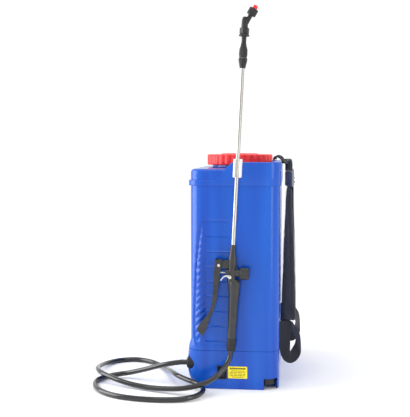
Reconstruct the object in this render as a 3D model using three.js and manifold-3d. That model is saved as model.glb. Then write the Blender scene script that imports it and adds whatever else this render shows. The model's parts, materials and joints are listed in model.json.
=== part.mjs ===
// Battery knapsack sprayer: blow-moulded tank on a battery base, shoulder straps,
// hose, trigger handle and steel lance. Millimetres, +Z up.
// The origin is the middle of the base's underside. -X is the outer face, with the
// hose outlet, +X is the wearer's side, with the straps, and the lance is clipped
// upright on the -Y side.
import * as THREE from 'three';
import { mergeVertices } from 'three/addons/utils/BufferGeometryUtils.js';
import Module from 'manifold-3d';

const wasm = await Module();
wasm.setup();

// ---------------------------------------------------------------- driving sizes
const GAP = 0.3;                 // clearance between pieces that touch
const ROUND = 24;                // sides of a large round
const SMALL_ROUND = 12;          // sides of a small round

const BODY_DEPTH = 198;          // tank, front to back
const BODY_WIDTH = 380;          // tank, side to side
const BODY_CORNER = 30;          // plan corner radius
const HALF_DEPTH = BODY_DEPTH / 2;
const HALF_WIDTH = BODY_WIDTH / 2;
const TANK_WALL = 3;
const SEAM_Z = 86;               // joint between the base housing and the tank
const DECK_Z = 488;              // flat top around the mouth
const SHOULDER_BEVEL = 8;        // rounding between the tank's sides and its deck
const BAND_Z = DECK_Z - 37;      // underside of the rim band
const BAND_HEIGHT = 13;
const BAND_PROUD = 2;
const BAND_LIP = 4.5;            // how far the band stands out at the front
const COLLAR_Z = DECK_Z + 15;    // top of the wall on the wearer's side
const COLLAR_SIDE_WALL = 14;
const COLLAR_BACK_WALL = 17;
const COLLAR_INNER_CORNER = 20;
const COLLAR_EDGE = 5;           // easing at the top of the ramp
const RAMP = { start: -45, end: 0 }; // x where the collar starts to rise and is full
const SKIRT_HEIGHT = 32;         // lower part of the tank that flares to meet the base

// Grip panel in each side of the tank.
const PANEL = {
  front: 12 - HALF_DEPTH,
  back: -5,
  low: SEAM_Z + 11,
  high: BAND_Z - 73,
  deep: 2,
  corner: 12,
};

const MOUTH_R = 58;             // filling mouth
const NECK_R = MOUTH_R + 7;
const NECK_TOP_Z = DECK_Z + 23.5;
const THREAD = { deep: 2.2, root: 2, crest: 0.6, places: [0.45, 0.8] };
const LID_SKIRT_R = NECK_R + THREAD.deep + 3.3;
const LID_R = LID_SKIRT_R + 7.3;
const LID_HEIGHT = 25;
const LID_TOP_WALL = 2.6;
const LID_BOSS_R = MOUTH_R - 16;  // raised middle of the lid
const LID_BOSS_HEIGHT = 2.5;
const LID_LOBES = 30;
const LID_LOBE_DEEP = 1.8;
const POINTS_PER_LOBE = 4;
const GASKET_THICK = 2.2;
const BASKET_FLANGE = 1.8;
const BASKET_R = MOUTH_R - 1.6;
const BASKET_DEEP = 70;
const BASKET_WALL = 2;
const BASKET_TAPER = 4;

const HOUSING_WALL = 3;
const HOUSING_BULGE = 7;         // how far the base stands out at the front
const HOUSING_TOE = 28;          // curve of the lower front edge
const HOUSING_BULGE_Z = SEAM_Z - 27.5; // height at which the bulge is fullest
const PLATE_THICK = 3;
// Notch in each rear lower corner, where the strap's end is hooked.
const NOTCH = { front: HALF_DEPTH - 33, back: HALF_DEPTH - 3.5, deep: 40, high: 25 };
const LUG = { wall: 4, rearWall: 8.5, thick: 14, inset: 3 };
const SCREW = { headR: 4, headHigh: 1, shankR: 2, proud: 0.8, sunk: 0.1 };
const SCREW_X = HALF_DEPTH - 39;
const SCREW_Y = HALF_WIDTH - NOTCH.deep - 20;

const OUTLET = { y: 18 - HALF_WIDTH, z: SEAM_Z - 32, nutR: 13, pocketX: 15 - HALF_DEPTH };
const OUTLET_FACE_X = -HALF_DEPTH - 8; // end face of the outlet nut
const POCKET_GAP = 2;            // between the outlet nut and its pocket
const SPIGOT_R = 6;
const SPIGOT_TAIL_X = 33 - HALF_DEPTH;
const OUTLET_STUB_R = 4.5;

const SWITCH = { x: -26.6, z: 37.7, wide: 20, high: 28.6, deep: 14, wall: 1.5, sunk: 0.5 };
const ROCKER = { pivotDeep: 8, tilt: 8, hollow: 3.6, rise: 5.4, back: 3, taper: 4 };
const LABEL = { left: -13, right: 29.5, low: 24.8, high: 51.8, thick: 0.4, corner: 1.5 };
const SOCKET = { y: 60, z: 50, r: 10, wall: 3, deep: 10, length: 16, boreR: 3 };
const CAP = { plugR: 5.4, plugLong: 4, thick: 2, strapHalf: 3, strapLong: 8, strapThick: 1.6 };

const INNER_FLOOR = PLATE_THICK + 1.2;
const PUMP = {
  x: 8, y0: 48 - HALF_WIDTH, y1: 98 - HALF_WIDTH, half: 31, high: SEAM_Z - 24, corner: 6,
  portR: 5, portLength: 10, portZ: SEAM_Z - 36,
};
const MOTOR = { r: 20, long: 66, bearingR: 8, bearingLong: 6, shoulder: 4 };
const BATTERY = {
  x0: 49 - HALF_DEPTH, x1: HALF_DEPTH - 55, y0: PUMP.y1 + MOTOR.long + 34, y1: HALF_WIDTH - 31,
  high: SEAM_Z - 21, corner: 4, tagX: 12, tagWide: 6, tagHigh: 6, tagInset: 20,
};
const TANK_OUTLET = { x: HALF_DEPTH - 39, y: -60, r: 9, boreR: 4, flange: 4, above: 14, below: 16 };
const INNER_HOSE_R = 5;

// ---- lance and handle. In the lance's own frame +Z runs up its axis.
const LANCE_BASE = new THREE.Vector3(-12, -HALF_WIDTH - 18, 92);
const LANCE_TILT = THREE.MathUtils.degToRad(2.8);
const TUBE_R = 4.3;
const TUBE_BORE_R = 3.3;
const SLIP = 0.3;                // radial clearance of a bore around the tube
const TUBE_START = 196;
const TUBE_END = 654;
const CLIP = { long: 40, plateHalf: 9.5, plateThick: 3, stemHalf: 5, jaw: 3.4, openHalf: 3.2 };
const CLIP_MIDDLE = COLLAR_Z - LANCE_BASE.z - 12.5;

// Heights of the head's pieces up the lance.
const TUBE_NUT = { low: 612, high: 633.4, coneTop: 629, tipR: 6.2, r: 9.3 };
const HEAD_NUT = { low: 634.6, high: 664.7, waist: 640, shoulder: 653, r: 9, endR: 5.6, boreTop: 656 };
const ADAPTER = { low: 665, high: 695.5, stemR: 5.1, flangeZ: 679, flangeR: 11.2, boreR: 2.5, pinR: 6.4 };
const HEX = { low: 684, high: 697, flat: 9.2 };
const ELBOW = { low: 697, shoulder: 712, high: 721, r: 7, branchR: 4.8, branchLong: 30.5 };
const NOZZLE_TILT = THREE.MathUtils.degToRad(28);
const NOZZLE_START = { t: 0.5, s: 703 }; // where the nozzle's axis leaves the lance's
const CAP_NUT = { low: 23.5, high: 39.1, r: 10, edge: 2, seat: 31, mouthR: 5.6, clearR: 7.6 };
const TIP = { low: 31.2, flangeTop: 35.6, flangeR: 7.2, r: 5.2, high: 47, boreR: 1 };

const VALVE = { s: 171, bodyR: 9.2, bossR: 8.5, front: -14, back: 17.3, boreR: 2.5, stemR: 2 };
const STEM = { front: -36.6, back: 5 };
const COLUMN = { low: 152, shoulder: 205, waist: 214, high: 233, waistR: 6.6, topR: 6 };
// Grip, turned about its own axis: (radius, height) of its outline.
const GRIP = {
  axis: 6.5, low: 9, spigotR: 7.2, spigotTop: 26, boreR: 5, boreTop: 140,
  outline: [[9.4, 26], [9.6, 60], [10.9, 112], [13.6, 146], [13.6, 150], [8, 160]],
};
const PIVOT = { t: -29, s: 187, pinR: 1.6, pinHalf: 10, bracketHalf: 4.5 };
const LOCK = { t: -4, s: 163, pinR: 2, from: 9.6, to: 11.6, eyeR: 4.2 };
const LEVER = { half: 8.5, sheet: 2.5, top: 199, back: -22.5, front: -37.5 };
const VALVE_CAP = { low: 17.6, high: 37.6, r: 13.2, edge: 1.4, boreR: 7, end: 4.6 };
const SPRING = { turns: 4, from: 19.5, to: 31, r: 4.2, wireR: 0.6, steps: 10 };
const FILTER = { innerR: 3, r: 4.2, low: 60, high: 128 };
const HOSE_NUT = { r: 10.3, edge: 2, high: 25.6, floor: 8, boreR: 7.6, holeR: 2 };

const HOSE_R = 5.75;
const HOSE_STEPS = 60;
const HOSE_SIDES = 8;

// ---- straps. x is measured from the collar's outer face.
const COLLAR_X = HALF_DEPTH + BAND_PROUD;
const STRAP_Y = 110;             // straps' distance from the middle
const WEBBING = 38;
const BUCKLE = { x: 18, turn: 12, half: 5, wide: 24, drop: 56, hang: 21, slot: 7, corner: 3 };
const PAD = { x: 18, turn: 28, wide: 50, thick: 11, edge: 2.5, low: 140, shoulder: 102, neck: 47, heel: 12 };
const LOOP = { x: 17, narrower: 4 };

// ---------------------------------------------------------------- materials
function finish(color, roughness, metalness = 0) {
  return new THREE.MeshStandardMaterial({ color, roughness, metalness });
}

const BLUE = () => finish(0x1a5ad6, 0.3);
const RED = () => finish(0xe62a2a, 0.4);
const BLACK = () => finish(0x2c2c2e, 0.45);
const CHARCOAL = () => finish(0x444448, 0.5);
const WHITE = () => finish(0xf2f2f0, 0.4);
const GREY = () => finish(0x8a8a8a, 0.5);
const STEEL = () => finish(0xc8c6c2, 0.25, 1);
const BRASS = () => finish(0xb08a3e, 0.35, 1);
const RUBBER = () => finish(0x1e1e20, 0.6);
const FABRIC = () => finish(0x26272e, 0.9);
const YELLOW = () => finish(0xf2df22, 0.5);

// ---------------------------------------------------------------- solid helpers
// A closed solid from a closed three.js geometry, with its faces turned outwards.
function solidOf(geometry) {
  const plain = geometry.clone();
  plain.deleteAttribute('normal');
  plain.deleteAttribute('uv');
  const merged = mergeVertices(plain, 1e-4);
  const corners = merged.attributes.position.array;
  const index = merged.index.array;
  const triangles = [];
  let volume = 0;
  const [a, b, c] = [new THREE.Vector3(), new THREE.Vector3(), new THREE.Vector3()];
  for (let i = 0; i < index.length; i += 3) {
    const [p, q, r] = [index[i], index[i + 1], index[i + 2]];
    if (p === q || q === r || r === p) continue;
    triangles.push([p, q, r]);
    a.fromArray(corners, 3 * p);
    b.fromArray(corners, 3 * q);
    c.fromArray(corners, 3 * r);
    volume += a.dot(b.cross(c));
  }
  const outward = volume > 0 ? triangles : triangles.map(([p, q, r]) => [p, r, q]);
  return new wasm.Manifold(new wasm.Mesh({
    numProp: 3,
    vertProperties: Float32Array.from(corners),
    triVerts: Uint32Array.from(outward.flat()),
  }));
}

function geometryOf(solid) {
  const mesh = solid.getMesh();
  const geometry = new THREE.BufferGeometry();
  geometry.setAttribute('position', new THREE.BufferAttribute(mesh.vertProperties, 3));
  geometry.setIndex(new THREE.BufferAttribute(mesh.triVerts, 1));
  geometry.computeVertexNormals();
  return geometry;
}

function roundedRect(minX, minY, maxX, maxY, radius) {
  const shape = new THREE.Shape();
  shape.moveTo(minX + radius, minY);
  shape.lineTo(maxX - radius, minY);
  shape.absarc(maxX - radius, minY + radius, radius, -Math.PI / 2, 0, false);
  shape.lineTo(maxX, maxY - radius);
  shape.absarc(maxX - radius, maxY - radius, radius, 0, Math.PI / 2, false);
  shape.lineTo(minX + radius, maxY);
  shape.absarc(minX + radius, maxY - radius, radius, Math.PI / 2, Math.PI, false);
  shape.lineTo(minX, minY + radius);
  shape.absarc(minX + radius, minY + radius, radius, Math.PI, 1.5 * Math.PI, false);
  return shape;
}

function polygon(points) {
  return new THREE.Shape(points.map(([x, y]) => new THREE.Vector2(x, y)));
}

// Upright prism on a plan shape, with its edges rounded by bevel.
function prism(shape, low, high, bevel = 0, curveSegments = 5) {
  const geometry = new THREE.ExtrudeGeometry(shape, {
    depth: high - low - 2 * bevel,
    bevelEnabled: bevel > 0,
    bevelThickness: bevel,
    bevelSize: bevel,
    bevelOffset: -bevel,
    bevelSegments: 2,
    curveSegments,
  });
  geometry.translate(0, 0, low + bevel);
  return solidOf(geometry);
}

// Prism on a side-view shape of (x, z) points, from y = from to y = to.
function sidePrism(shape, from, to, bevel = 0, curveSegments = 6) {
  const geometry = new THREE.ExtrudeGeometry(shape, {
    depth: to - from - 2 * bevel,
    bevelEnabled: bevel > 0,
    bevelThickness: bevel,
    bevelSize: bevel,
    bevelOffset: -bevel,
    bevelSegments: 1,
    curveSegments,
  });
  geometry.rotateX(Math.PI / 2);
  geometry.translate(0, to - bevel, 0);
  return solidOf(geometry);
}

function block(x0, x1, y0, y1, z0, z1) {
  const geometry = new THREE.BoxGeometry(x1 - x0, y1 - y0, z1 - z0);
  geometry.translate((x0 + x1) / 2, (y0 + y1) / 2, (z0 + z1) / 2);
  return solidOf(geometry);
}

// Turned solid about +Z from closed (radius, height) points.
function turned(points, sides = ROUND) {
  const outline = points.map(([r, h]) => new THREE.Vector2(r, h));
  const geometry = new THREE.LatheGeometry(outline, sides);
  geometry.rotateX(Math.PI / 2);
  return solidOf(geometry);
}

// Turned ring with a bore: the profile closes on itself.
function turnedRing(points, sides = ROUND) {
  return turned([...points, points[0]], sides);
}

function cylinder(radius, low, high, sides = ROUND) {
  return turned([[0, low], [radius, low], [radius, high], [0, high]], sides);
}

// Turns a solid built along +Z so that it runs along +X or +Y.
const alongX = (solid) => solid.rotate([0, 90, 0]);
const alongY = (solid) => solid.rotate([-90, 0, 0]);

function tubeAlong(points, radius, steps, sides, bore = 0) {
  const path = new THREE.CatmullRomCurve3(points.map((p) => new THREE.Vector3(...p)));
  const ring = (size) => Array.from({ length: sides }, (_, i) => {
    const angle = (2 * Math.PI * i) / sides;
    return new THREE.Vector2(size * Math.cos(angle), size * Math.sin(angle));
  });
  const section = new THREE.Shape(ring(radius));
  if (bore > 0) section.holes.push(new THREE.Path(ring(bore)));
  return new THREE.ExtrudeGeometry(section, { steps, extrudePath: path, bevelEnabled: false });
}

function part(parent, name, solid, material) {
  const geometry = solid.isBufferGeometry ? solid : geometryOf(solid);
  const mesh = new THREE.Mesh(geometry, material);
  mesh.name = name;
  parent.add(mesh);
  return mesh;
}

// ---------------------------------------------------------------- shared outlines
function bodyPlan(grow) {
  const x = HALF_DEPTH + grow;
  const y = HALF_WIDTH + grow;
  return roundedRect(-x, -y, x, y, BODY_CORNER + grow);
}

// Side outline of the base: straight back, bulged front, curved toe. inset shrinks it.
function housingOutline(inset) {
  const low = inset > 0 ? -1 : 0;
  const high = inset > 0 ? SEAM_Z + 1 : SEAM_Z;
  const front = HALF_DEPTH + HOUSING_BULGE - inset;
  const back = HALF_DEPTH - inset;
  const toe = HOUSING_TOE - inset;
  const top = HALF_DEPTH + HOUSING_BULGE - 2 - inset;
  const shape = new THREE.Shape();
  shape.moveTo(back, low);
  shape.lineTo(back, high);
  shape.lineTo(-top, high);
  shape.lineTo(-front, HOUSING_BULGE_Z);
  shape.lineTo(-front + 1, HOUSING_TOE + 4);
  shape.quadraticCurveTo(-front + 2, inset + 6, -front + toe, inset);
  if (inset > 0) shape.lineTo(-front + toe, low);
  return shape;
}

// Plan outline of the base, with the bulge added in front.
function housingPlan(inset) {
  const back = HALF_DEPTH - inset;
  const side = HALF_WIDTH - inset;
  return roundedRect(-back - HOUSING_BULGE, -side, back, side, BODY_CORNER - inset);
}

// ---------------------------------------------------------------- tank
function tankSolid() {
  const skirtTop = SEAM_Z + SKIRT_HEIGHT;
  const skirt = sidePrism(polygon([
    [-HALF_DEPTH - HOUSING_BULGE + 2, SEAM_Z + GAP],
    [0, SEAM_Z + GAP],
    [0, skirtTop],
    [-HALF_DEPTH + 1, skirtTop],
  ]), -HALF_WIDTH, HALF_WIDTH).intersect(prism(housingPlan(0), SEAM_Z, skirtTop));
  const body = prism(bodyPlan(0), SEAM_Z + GAP, BAND_Z + 1);
  const band = prism(
    roundedRect(
      -HALF_DEPTH - BAND_LIP, -HALF_WIDTH - BAND_PROUD,
      HALF_DEPTH + BAND_PROUD, HALF_WIDTH + BAND_PROUD, BODY_CORNER + BAND_PROUD,
    ),
    BAND_Z, BAND_Z + BAND_HEIGHT,
  );
  const shoulder = prism(bodyPlan(0), BAND_Z, DECK_Z, SHOULDER_BEVEL);
  let hollow = prism(bodyPlan(-TANK_WALL), SEAM_Z + TANK_WALL + GAP, DECK_Z - 2 * TANK_WALL);
  for (const side of [-1, 1]) hollow = hollow.subtract(panelSlab(side, TANK_WALL, TANK_WALL));
  const neck = cylinder(NECK_R, DECK_Z - 4, NECK_TOP_Z);
  const threads = THREAD.places.map((share) => {
    const z = DECK_Z + share * (NECK_TOP_Z - DECK_Z);
    return turnedRing([
      [NECK_R - 1, z - THREAD.root], [NECK_R + THREAD.deep, z - THREAD.crest],
      [NECK_R + THREAD.deep, z + THREAD.crest], [NECK_R - 1, z + THREAD.root],
    ]);
  });
  let tank = skirt.add(body).add(band).add(shoulder).add(collarSolid()).add(neck);
  for (const thread of threads) tank = tank.add(thread);
  tank = tank.subtract(hollow).subtract(cylinder(MOUTH_R, DECK_Z - 20, NECK_TOP_Z + 5));
  for (const side of [-1, 1]) tank = tank.subtract(panelSlab(side, 0, 0));
  const drain = cylinder(TANK_OUTLET.r + GAP, SEAM_Z - 5, SEAM_Z + 12, SMALL_ROUND);
  return tank.subtract(drain.translate([TANK_OUTLET.x, TANK_OUTLET.y, 0]));
}

// Wall round the back and sides of the mouth, rising from the band by a ramp.
function collarSolid() {
  const x = HALF_DEPTH + BAND_PROUD;
  const y = HALF_WIDTH + BAND_PROUD;
  const outline = sidePrism(polygon([
    [RAMP.start, BAND_Z + BAND_HEIGHT - 1],
    [x, BAND_Z + BAND_HEIGHT - 1],
    [x, COLLAR_Z],
    [RAMP.end + COLLAR_EDGE, COLLAR_Z],
    [RAMP.end - COLLAR_EDGE, COLLAR_Z - COLLAR_EDGE],
  ]), -y, y);
  const plan = prism(
    roundedRect(-x, -y, x, y, BODY_CORNER + BAND_PROUD), BAND_Z, COLLAR_Z,
  );
  const inner = prism(
    roundedRect(
      -2 * x, -y + COLLAR_SIDE_WALL, x - COLLAR_BACK_WALL, y - COLLAR_SIDE_WALL, COLLAR_INNER_CORNER,
    ),
    BAND_Z - 1, COLLAR_Z + 1,
  );
  return outline.intersect(plan).subtract(inner);
}

// Shallow recess in one side of the tank, where the grip ribs are. grow and extra make
// it larger and deeper, for the wall behind it.
function panelSlab(side, grow, extra) {
  const depth = PANEL.deep + extra;
  const outline = roundedRect(
    PANEL.front - grow, PANEL.low - grow, PANEL.back + grow, PANEL.high + grow, PANEL.corner + grow,
  );
  const face = HALF_WIDTH * side;
  const [from, to] = side < 0 ? [face - 1, face + depth] : [face - depth, face + 1];
  return sidePrism(outline, from, to);
}

function tankOutletSolid() {
  const { x, y, r, boreR, flange, above, below } = TANK_OUTLET;
  const fitting = turnedRing([
    [boreR, SEAM_Z - below], [r - 2, SEAM_Z - below], [r - 2, SEAM_Z - 3], [r + flange, SEAM_Z - 3],
    [r + flange, SEAM_Z], [r, SEAM_Z], [r, SEAM_Z + above], [boreR, SEAM_Z + above],
  ], SMALL_ROUND);
  return fitting.translate([x, y, 0]);
}

// ---------------------------------------------------------------- lid and strainer
const BASKET_SEAT_Z = NECK_TOP_Z + GAP;
const GASKET_Z = BASKET_SEAT_Z + BASKET_FLANGE + GAP;
const LID_CEILING_Z = GASKET_Z + GASKET_THICK + GAP;
const LID_TOP_Z = LID_CEILING_Z + LID_TOP_WALL;

function lidSolid() {
  const rim = new THREE.Shape();
  const count = LID_LOBES * POINTS_PER_LOBE;
  for (let i = 0; i < count; i += 1) {
    const angle = (2 * Math.PI * i) / count;
    const wave = 0.5 - 0.5 * Math.cos(LID_LOBES * angle);
    const radius = LID_R - LID_LOBE_DEEP * wave;
    const [x, y] = [radius * Math.cos(angle), radius * Math.sin(angle)];
    if (i === 0) rim.moveTo(x, y);
    else rim.lineTo(x, y);
  }
  const shell = prism(rim, LID_TOP_Z - LID_HEIGHT, LID_TOP_Z);
  const boss = cylinder(LID_BOSS_R, LID_TOP_Z - 1, LID_TOP_Z + LID_BOSS_HEIGHT);
  const room = cylinder(LID_SKIRT_R, LID_TOP_Z - LID_HEIGHT - 1, LID_CEILING_Z);
  return shell.add(boss).subtract(room);
}

function gasketSolid() {
  return turnedRing([
    [MOUTH_R, GASKET_Z], [NECK_R, GASKET_Z],
    [NECK_R, GASKET_Z + GASKET_THICK], [MOUTH_R, GASKET_Z + GASKET_THICK],
  ]);
}

function basketSolid() {
  const bottom = BASKET_SEAT_Z - BASKET_DEEP;
  const top = BASKET_SEAT_Z + BASKET_FLANGE;
  const inner = BASKET_R - BASKET_WALL;
  return turned([
    [0, bottom], [BASKET_R - BASKET_TAPER, bottom], [BASKET_R, BASKET_SEAT_Z],
    [NECK_R - 1, BASKET_SEAT_Z], [NECK_R - 1, top], [inner, top],
    [inner - BASKET_TAPER, bottom + BASKET_WALL], [0, bottom + BASKET_WALL],
  ]);
}

// ---------------------------------------------------------------- base
// Inside of the housing, less the walls round the notches and the outlet's pocket.
function housingRoom(inset, low, high) {
  const plan = prism(housingPlan(inset), low, high);
  const side = sidePrism(housingOutline(inset), -HALF_WIDTH, HALF_WIDTH);
  let room = plan.intersect(side);
  for (const end of [-1, 1]) {
    const inner = HALF_WIDTH - NOTCH.deep - inset;
    const [y0, y1] = end < 0 ? [-HALF_WIDTH - 1, -inner] : [inner, HALF_WIDTH + 1];
    const top = NOTCH.high + inset;
    room = room.subtract(block(NOTCH.front - inset, HALF_DEPTH + 1, y0, y1, -2, top));
  }
  return room;
}

function notchCut(end) {
  const inner = HALF_WIDTH - NOTCH.deep;
  const [y0, y1] = end < 0 ? [-HALF_WIDTH - 1, -inner] : [inner, HALF_WIDTH + 1];
  return block(NOTCH.front, NOTCH.back, y0, y1, -1, NOTCH.high);
}

function housingSolid() {
  const outer = prism(housingPlan(0), 0, SEAM_Z)
    .intersect(sidePrism(housingOutline(0), -HALF_WIDTH, HALF_WIDTH));
  const pocketR = OUTLET.nutR + POCKET_GAP;
  const bossR = pocketR + HOUSING_WALL;
  const boss = alongX(cylinder(bossR, -HALF_DEPTH - 20, OUTLET.pocketX + HOUSING_WALL))
    .translate([0, OUTLET.y, OUTLET.z]);
  const room = housingRoom(HOUSING_WALL, -1, SEAM_Z + 1).subtract(boss);
  const pocket = alongX(cylinder(pocketR, -HALF_DEPTH - 30, OUTLET.pocketX))
    .translate([0, OUTLET.y, OUTLET.z]);
  const spigot = alongX(cylinder(SPIGOT_R + GAP, -HALF_DEPTH - 30, SPIGOT_TAIL_X, SMALL_ROUND))
    .translate([0, OUTLET.y, OUTLET.z]);
  const socket = alongX(cylinder(SOCKET.r + GAP, -HALF_DEPTH - 30, SPIGOT_TAIL_X, SMALL_ROUND + 4))
    .translate([0, SOCKET.y, SOCKET.z]);
  const { x, z, wide, high } = SWITCH;
  const window = block(
    x - wide / 2 - GAP, x + wide / 2 + GAP, -HALF_WIDTH - 1, -HALF_WIDTH + HOUSING_WALL + 1,
    z - high / 2 - GAP, z + high / 2 + GAP,
  );
  let housing = outer.subtract(room).subtract(pocket).subtract(spigot);
  housing = housing.subtract(socket).subtract(window);
  for (const end of [-1, 1]) housing = housing.subtract(notchCut(end));
  return housing;
}

const SCREW_PLACES = [
  [-SCREW_X, -SCREW_Y], [SCREW_X, -SCREW_Y], [-SCREW_X, SCREW_Y], [SCREW_X, SCREW_Y],
];

function plateSolid() {
  let plate = housingRoom(HOUSING_WALL + GAP, 0, PLATE_THICK);
  for (const [x, y] of SCREW_PLACES) {
    const shank = cylinder(SCREW.shankR + GAP, -1, PLATE_THICK + 1, SMALL_ROUND);
    const head = cylinder(SCREW.headR + GAP, -1, SCREW.headHigh + GAP, SMALL_ROUND);
    plate = plate.subtract(shank.add(head).translate([x, y, 0]));
  }
  return plate;
}

function screwSolid() {
  const { headR, headHigh, shankR, proud, sunk } = SCREW;
  return turned([
    [0, sunk], [headR, sunk], [headR, headHigh], [shankR, headHigh],
    [shankR, PLATE_THICK + proud], [0, PLATE_THICK + proud],
  ], SMALL_ROUND);
}

function batterySolid() {
  const { x0, x1, y0, y1, high, corner, tagX, tagWide, tagHigh, tagInset } = BATTERY;
  const top = INNER_FLOOR + high;
  const box = prism(roundedRect(x0, y0, x1, y1, corner), INNER_FLOOR, top, 0, 3);
  const tags = [y0 + tagInset, y1 - tagInset].map((y) => block(
    x0 + tagX, x0 + tagX + tagWide, y - tagWide / 2, y + tagWide / 2, top - 1, top + tagHigh,
  ));
  return box.add(tags[0]).add(tags[1]);
}

function pumpHeadSolid() {
  const { x, y0, y1, half, high, corner, portR, portLength, portZ } = PUMP;
  const plan = roundedRect(x - half, y0, x + half, y1, corner);
  const box = prism(plan, INNER_FLOOR, INNER_FLOOR + high, 0, 3);
  const reach = half + portLength;
  const ports = alongX(cylinder(portR, x - reach, x + reach, SMALL_ROUND));
  return box.add(ports.translate([0, (y0 + y1) / 2, portZ]));
}

function pumpMotorSolid() {
  const { r, long, bearingR, bearingLong, shoulder } = MOTOR;
  const start = PUMP.y1 + GAP;
  const end = PUMP.y1 + long;
  const can = alongY(turned([
    [0, start], [r, start], [r, end], [bearingR, end + shoulder],
    [bearingR, end + shoulder + bearingLong], [0, end + shoulder + bearingLong],
  ], SMALL_ROUND + 4));
  return can.translate([PUMP.x, 0, INNER_FLOOR + PUMP.high / 2]);
}

function innerHoses(parent) {
  const portY = (PUMP.y0 + PUMP.y1) / 2;
  const inlet = PUMP.x + PUMP.half + PUMP.portLength + GAP;
  const outlet = PUMP.x - PUMP.half - PUMP.portLength - GAP;
  const suction = tubeAlong([
    [TANK_OUTLET.x, TANK_OUTLET.y, SEAM_Z - TANK_OUTLET.below - GAP],
    [TANK_OUTLET.x, TANK_OUTLET.y, SEAM_Z - 22],
    [TANK_OUTLET.x + 5, TANK_OUTLET.y - 12, SEAM_Z - 33],
    [TANK_OUTLET.x + 10, TANK_OUTLET.y - 32, PUMP.portZ],
    [inlet + 14, portY + 4, PUMP.portZ],
    [inlet + 6, portY, PUMP.portZ],
    [inlet, portY, PUMP.portZ],
  ], INNER_HOSE_R, 18, 8);
  const pressure = tubeAlong([
    [outlet, portY, PUMP.portZ],
    [outlet - 6, portY, PUMP.portZ],
    [outlet - 14, portY - 12, PUMP.portZ + 1],
    [SPIGOT_TAIL_X + 22, OUTLET.y + 14, OUTLET.z],
    [SPIGOT_TAIL_X + 8, OUTLET.y, OUTLET.z],
    [SPIGOT_TAIL_X + GAP, OUTLET.y, OUTLET.z],
  ], INNER_HOSE_R, 14, 8);
  part(parent, 'suction_hose', suction, RUBBER());
  part(parent, 'pressure_hose', pressure, RUBBER());
}

function hoseOutletSolid() {
  const flange = OUTLET.pocketX - GAP;
  const fitting = alongX(turned([
    [0, OUTLET_FACE_X + 6], [OUTLET_STUB_R, OUTLET_FACE_X + 6], [OUTLET_STUB_R, flange - 3],
    [OUTLET.nutR - 1, flange - 3], [OUTLET.nutR - 1, flange], [SPIGOT_R, flange],
    [SPIGOT_R, SPIGOT_TAIL_X], [0, SPIGOT_TAIL_X],
  ], SMALL_ROUND));
  return fitting.translate([0, OUTLET.y, OUTLET.z]);
}

function outletNutSolid() {
  const start = OUTLET.pocketX - 3 - 2 * GAP;
  const { nutR } = OUTLET;
  const nut = turnedRing([
    [nutR - 3, start], [nutR, start], [nutR, OUTLET_FACE_X + 3], [nutR - 2, OUTLET_FACE_X],
    [2, OUTLET_FACE_X], [2, OUTLET_FACE_X + 4], [nutR - 3, OUTLET_FACE_X + 4],
  ], SMALL_ROUND + 8);
  return alongX(nut).translate([0, OUTLET.y, OUTLET.z]);
}

function switchBezelSolid() {
  const { x, z, wide, high, deep, wall, sunk } = SWITCH;
  const front = -HALF_WIDTH + sunk;
  const box = block(x - wide / 2, x + wide / 2, front, front + deep, z - high / 2, z + high / 2);
  const well = block(
    x - wide / 2 + wall, x + wide / 2 - wall, front - 1, front + deep - 2,
    z - high / 2 + wall, z + high / 2 - wall,
  );
  return box.subtract(well);
}

function rockerSolid() {
  const { x, z, wide, high, wall } = SWITCH;
  const { pivotDeep, tilt, hollow, rise, back, taper } = ROCKER;
  const half = high / 2 - 2 * wall;
  const outline = polygon([
    [-rise, -half], [-hollow, 0], [-rise, half], [back, half - taper], [back, taper - half],
  ]);
  const thick = wide - 5;
  const geometry = new THREE.ExtrudeGeometry(outline, { depth: thick, bevelEnabled: false });
  geometry.translate(0, 0, -thick / 2);
  geometry.rotateY(Math.PI / 2);
  geometry.rotateX(Math.PI / 2);
  return solidOf(geometry).rotate([tilt, 0, 0]).translate([x, pivotDeep - HALF_WIDTH, z]);
}

function socketSolid() {
  const front = -HALF_DEPTH - HOUSING_BULGE + 1;
  const { r, wall, deep, length, boreR, y, z } = SOCKET;
  const ring = turnedRing([
    [boreR, front + length], [r, front + length], [r, front - 2], [r - wall, front - 2],
    [r - wall, front + deep], [boreR, front + deep],
  ], SMALL_ROUND + 4);
  return alongX(ring).translate([0, y, z]);
}

function socketCapSolid() {
  const front = -HALF_DEPTH - HOUSING_BULGE - 1 - GAP;
  const { plugR, plugLong, thick, strapHalf, strapLong, strapThick } = CAP;
  const { r } = SOCKET;
  const cap = alongX(turned([
    [0, front + plugLong], [plugR, front + plugLong], [plugR, front], [r, front],
    [r, front - thick], [0, front - thick],
  ], SMALL_ROUND + 4));
  const back = front - thick;
  const strap = block(back, back + strapThick, -strapHalf, strapHalf, r - 2, r + strapLong);
  return cap.add(strap).translate([0, SOCKET.y, SOCKET.z]);
}

function labelSolid() {
  const { left, right, low, high, thick, corner } = LABEL;
  const face = -HALF_WIDTH - GAP;
  return sidePrism(roundedRect(left, low, right, high, corner), face - thick, face, 0, 3);
}

function baseLugSolid(end) {
  const { wall, rearWall, thick, inset } = LUG;
  const inner = HALF_WIDTH - NOTCH.deep;
  const bar = block(
    NOTCH.front + 1, NOTCH.back - 1, inner + GAP, HALF_WIDTH - wall,
    NOTCH.high - thick, NOTCH.high - GAP,
  );
  const slot = block(
    NOTCH.front + 1 + wall, NOTCH.back - 1 - rearWall, inner + 2 * wall, HALF_WIDTH - thick,
    NOTCH.high - thick - 1, NOTCH.high + 1,
  );
  const lug = bar.subtract(slot).intersect(prism(bodyPlan(-inset), 0, SEAM_Z));
  return end < 0 ? lug.mirror([0, 1, 0]) : lug;
}

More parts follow.
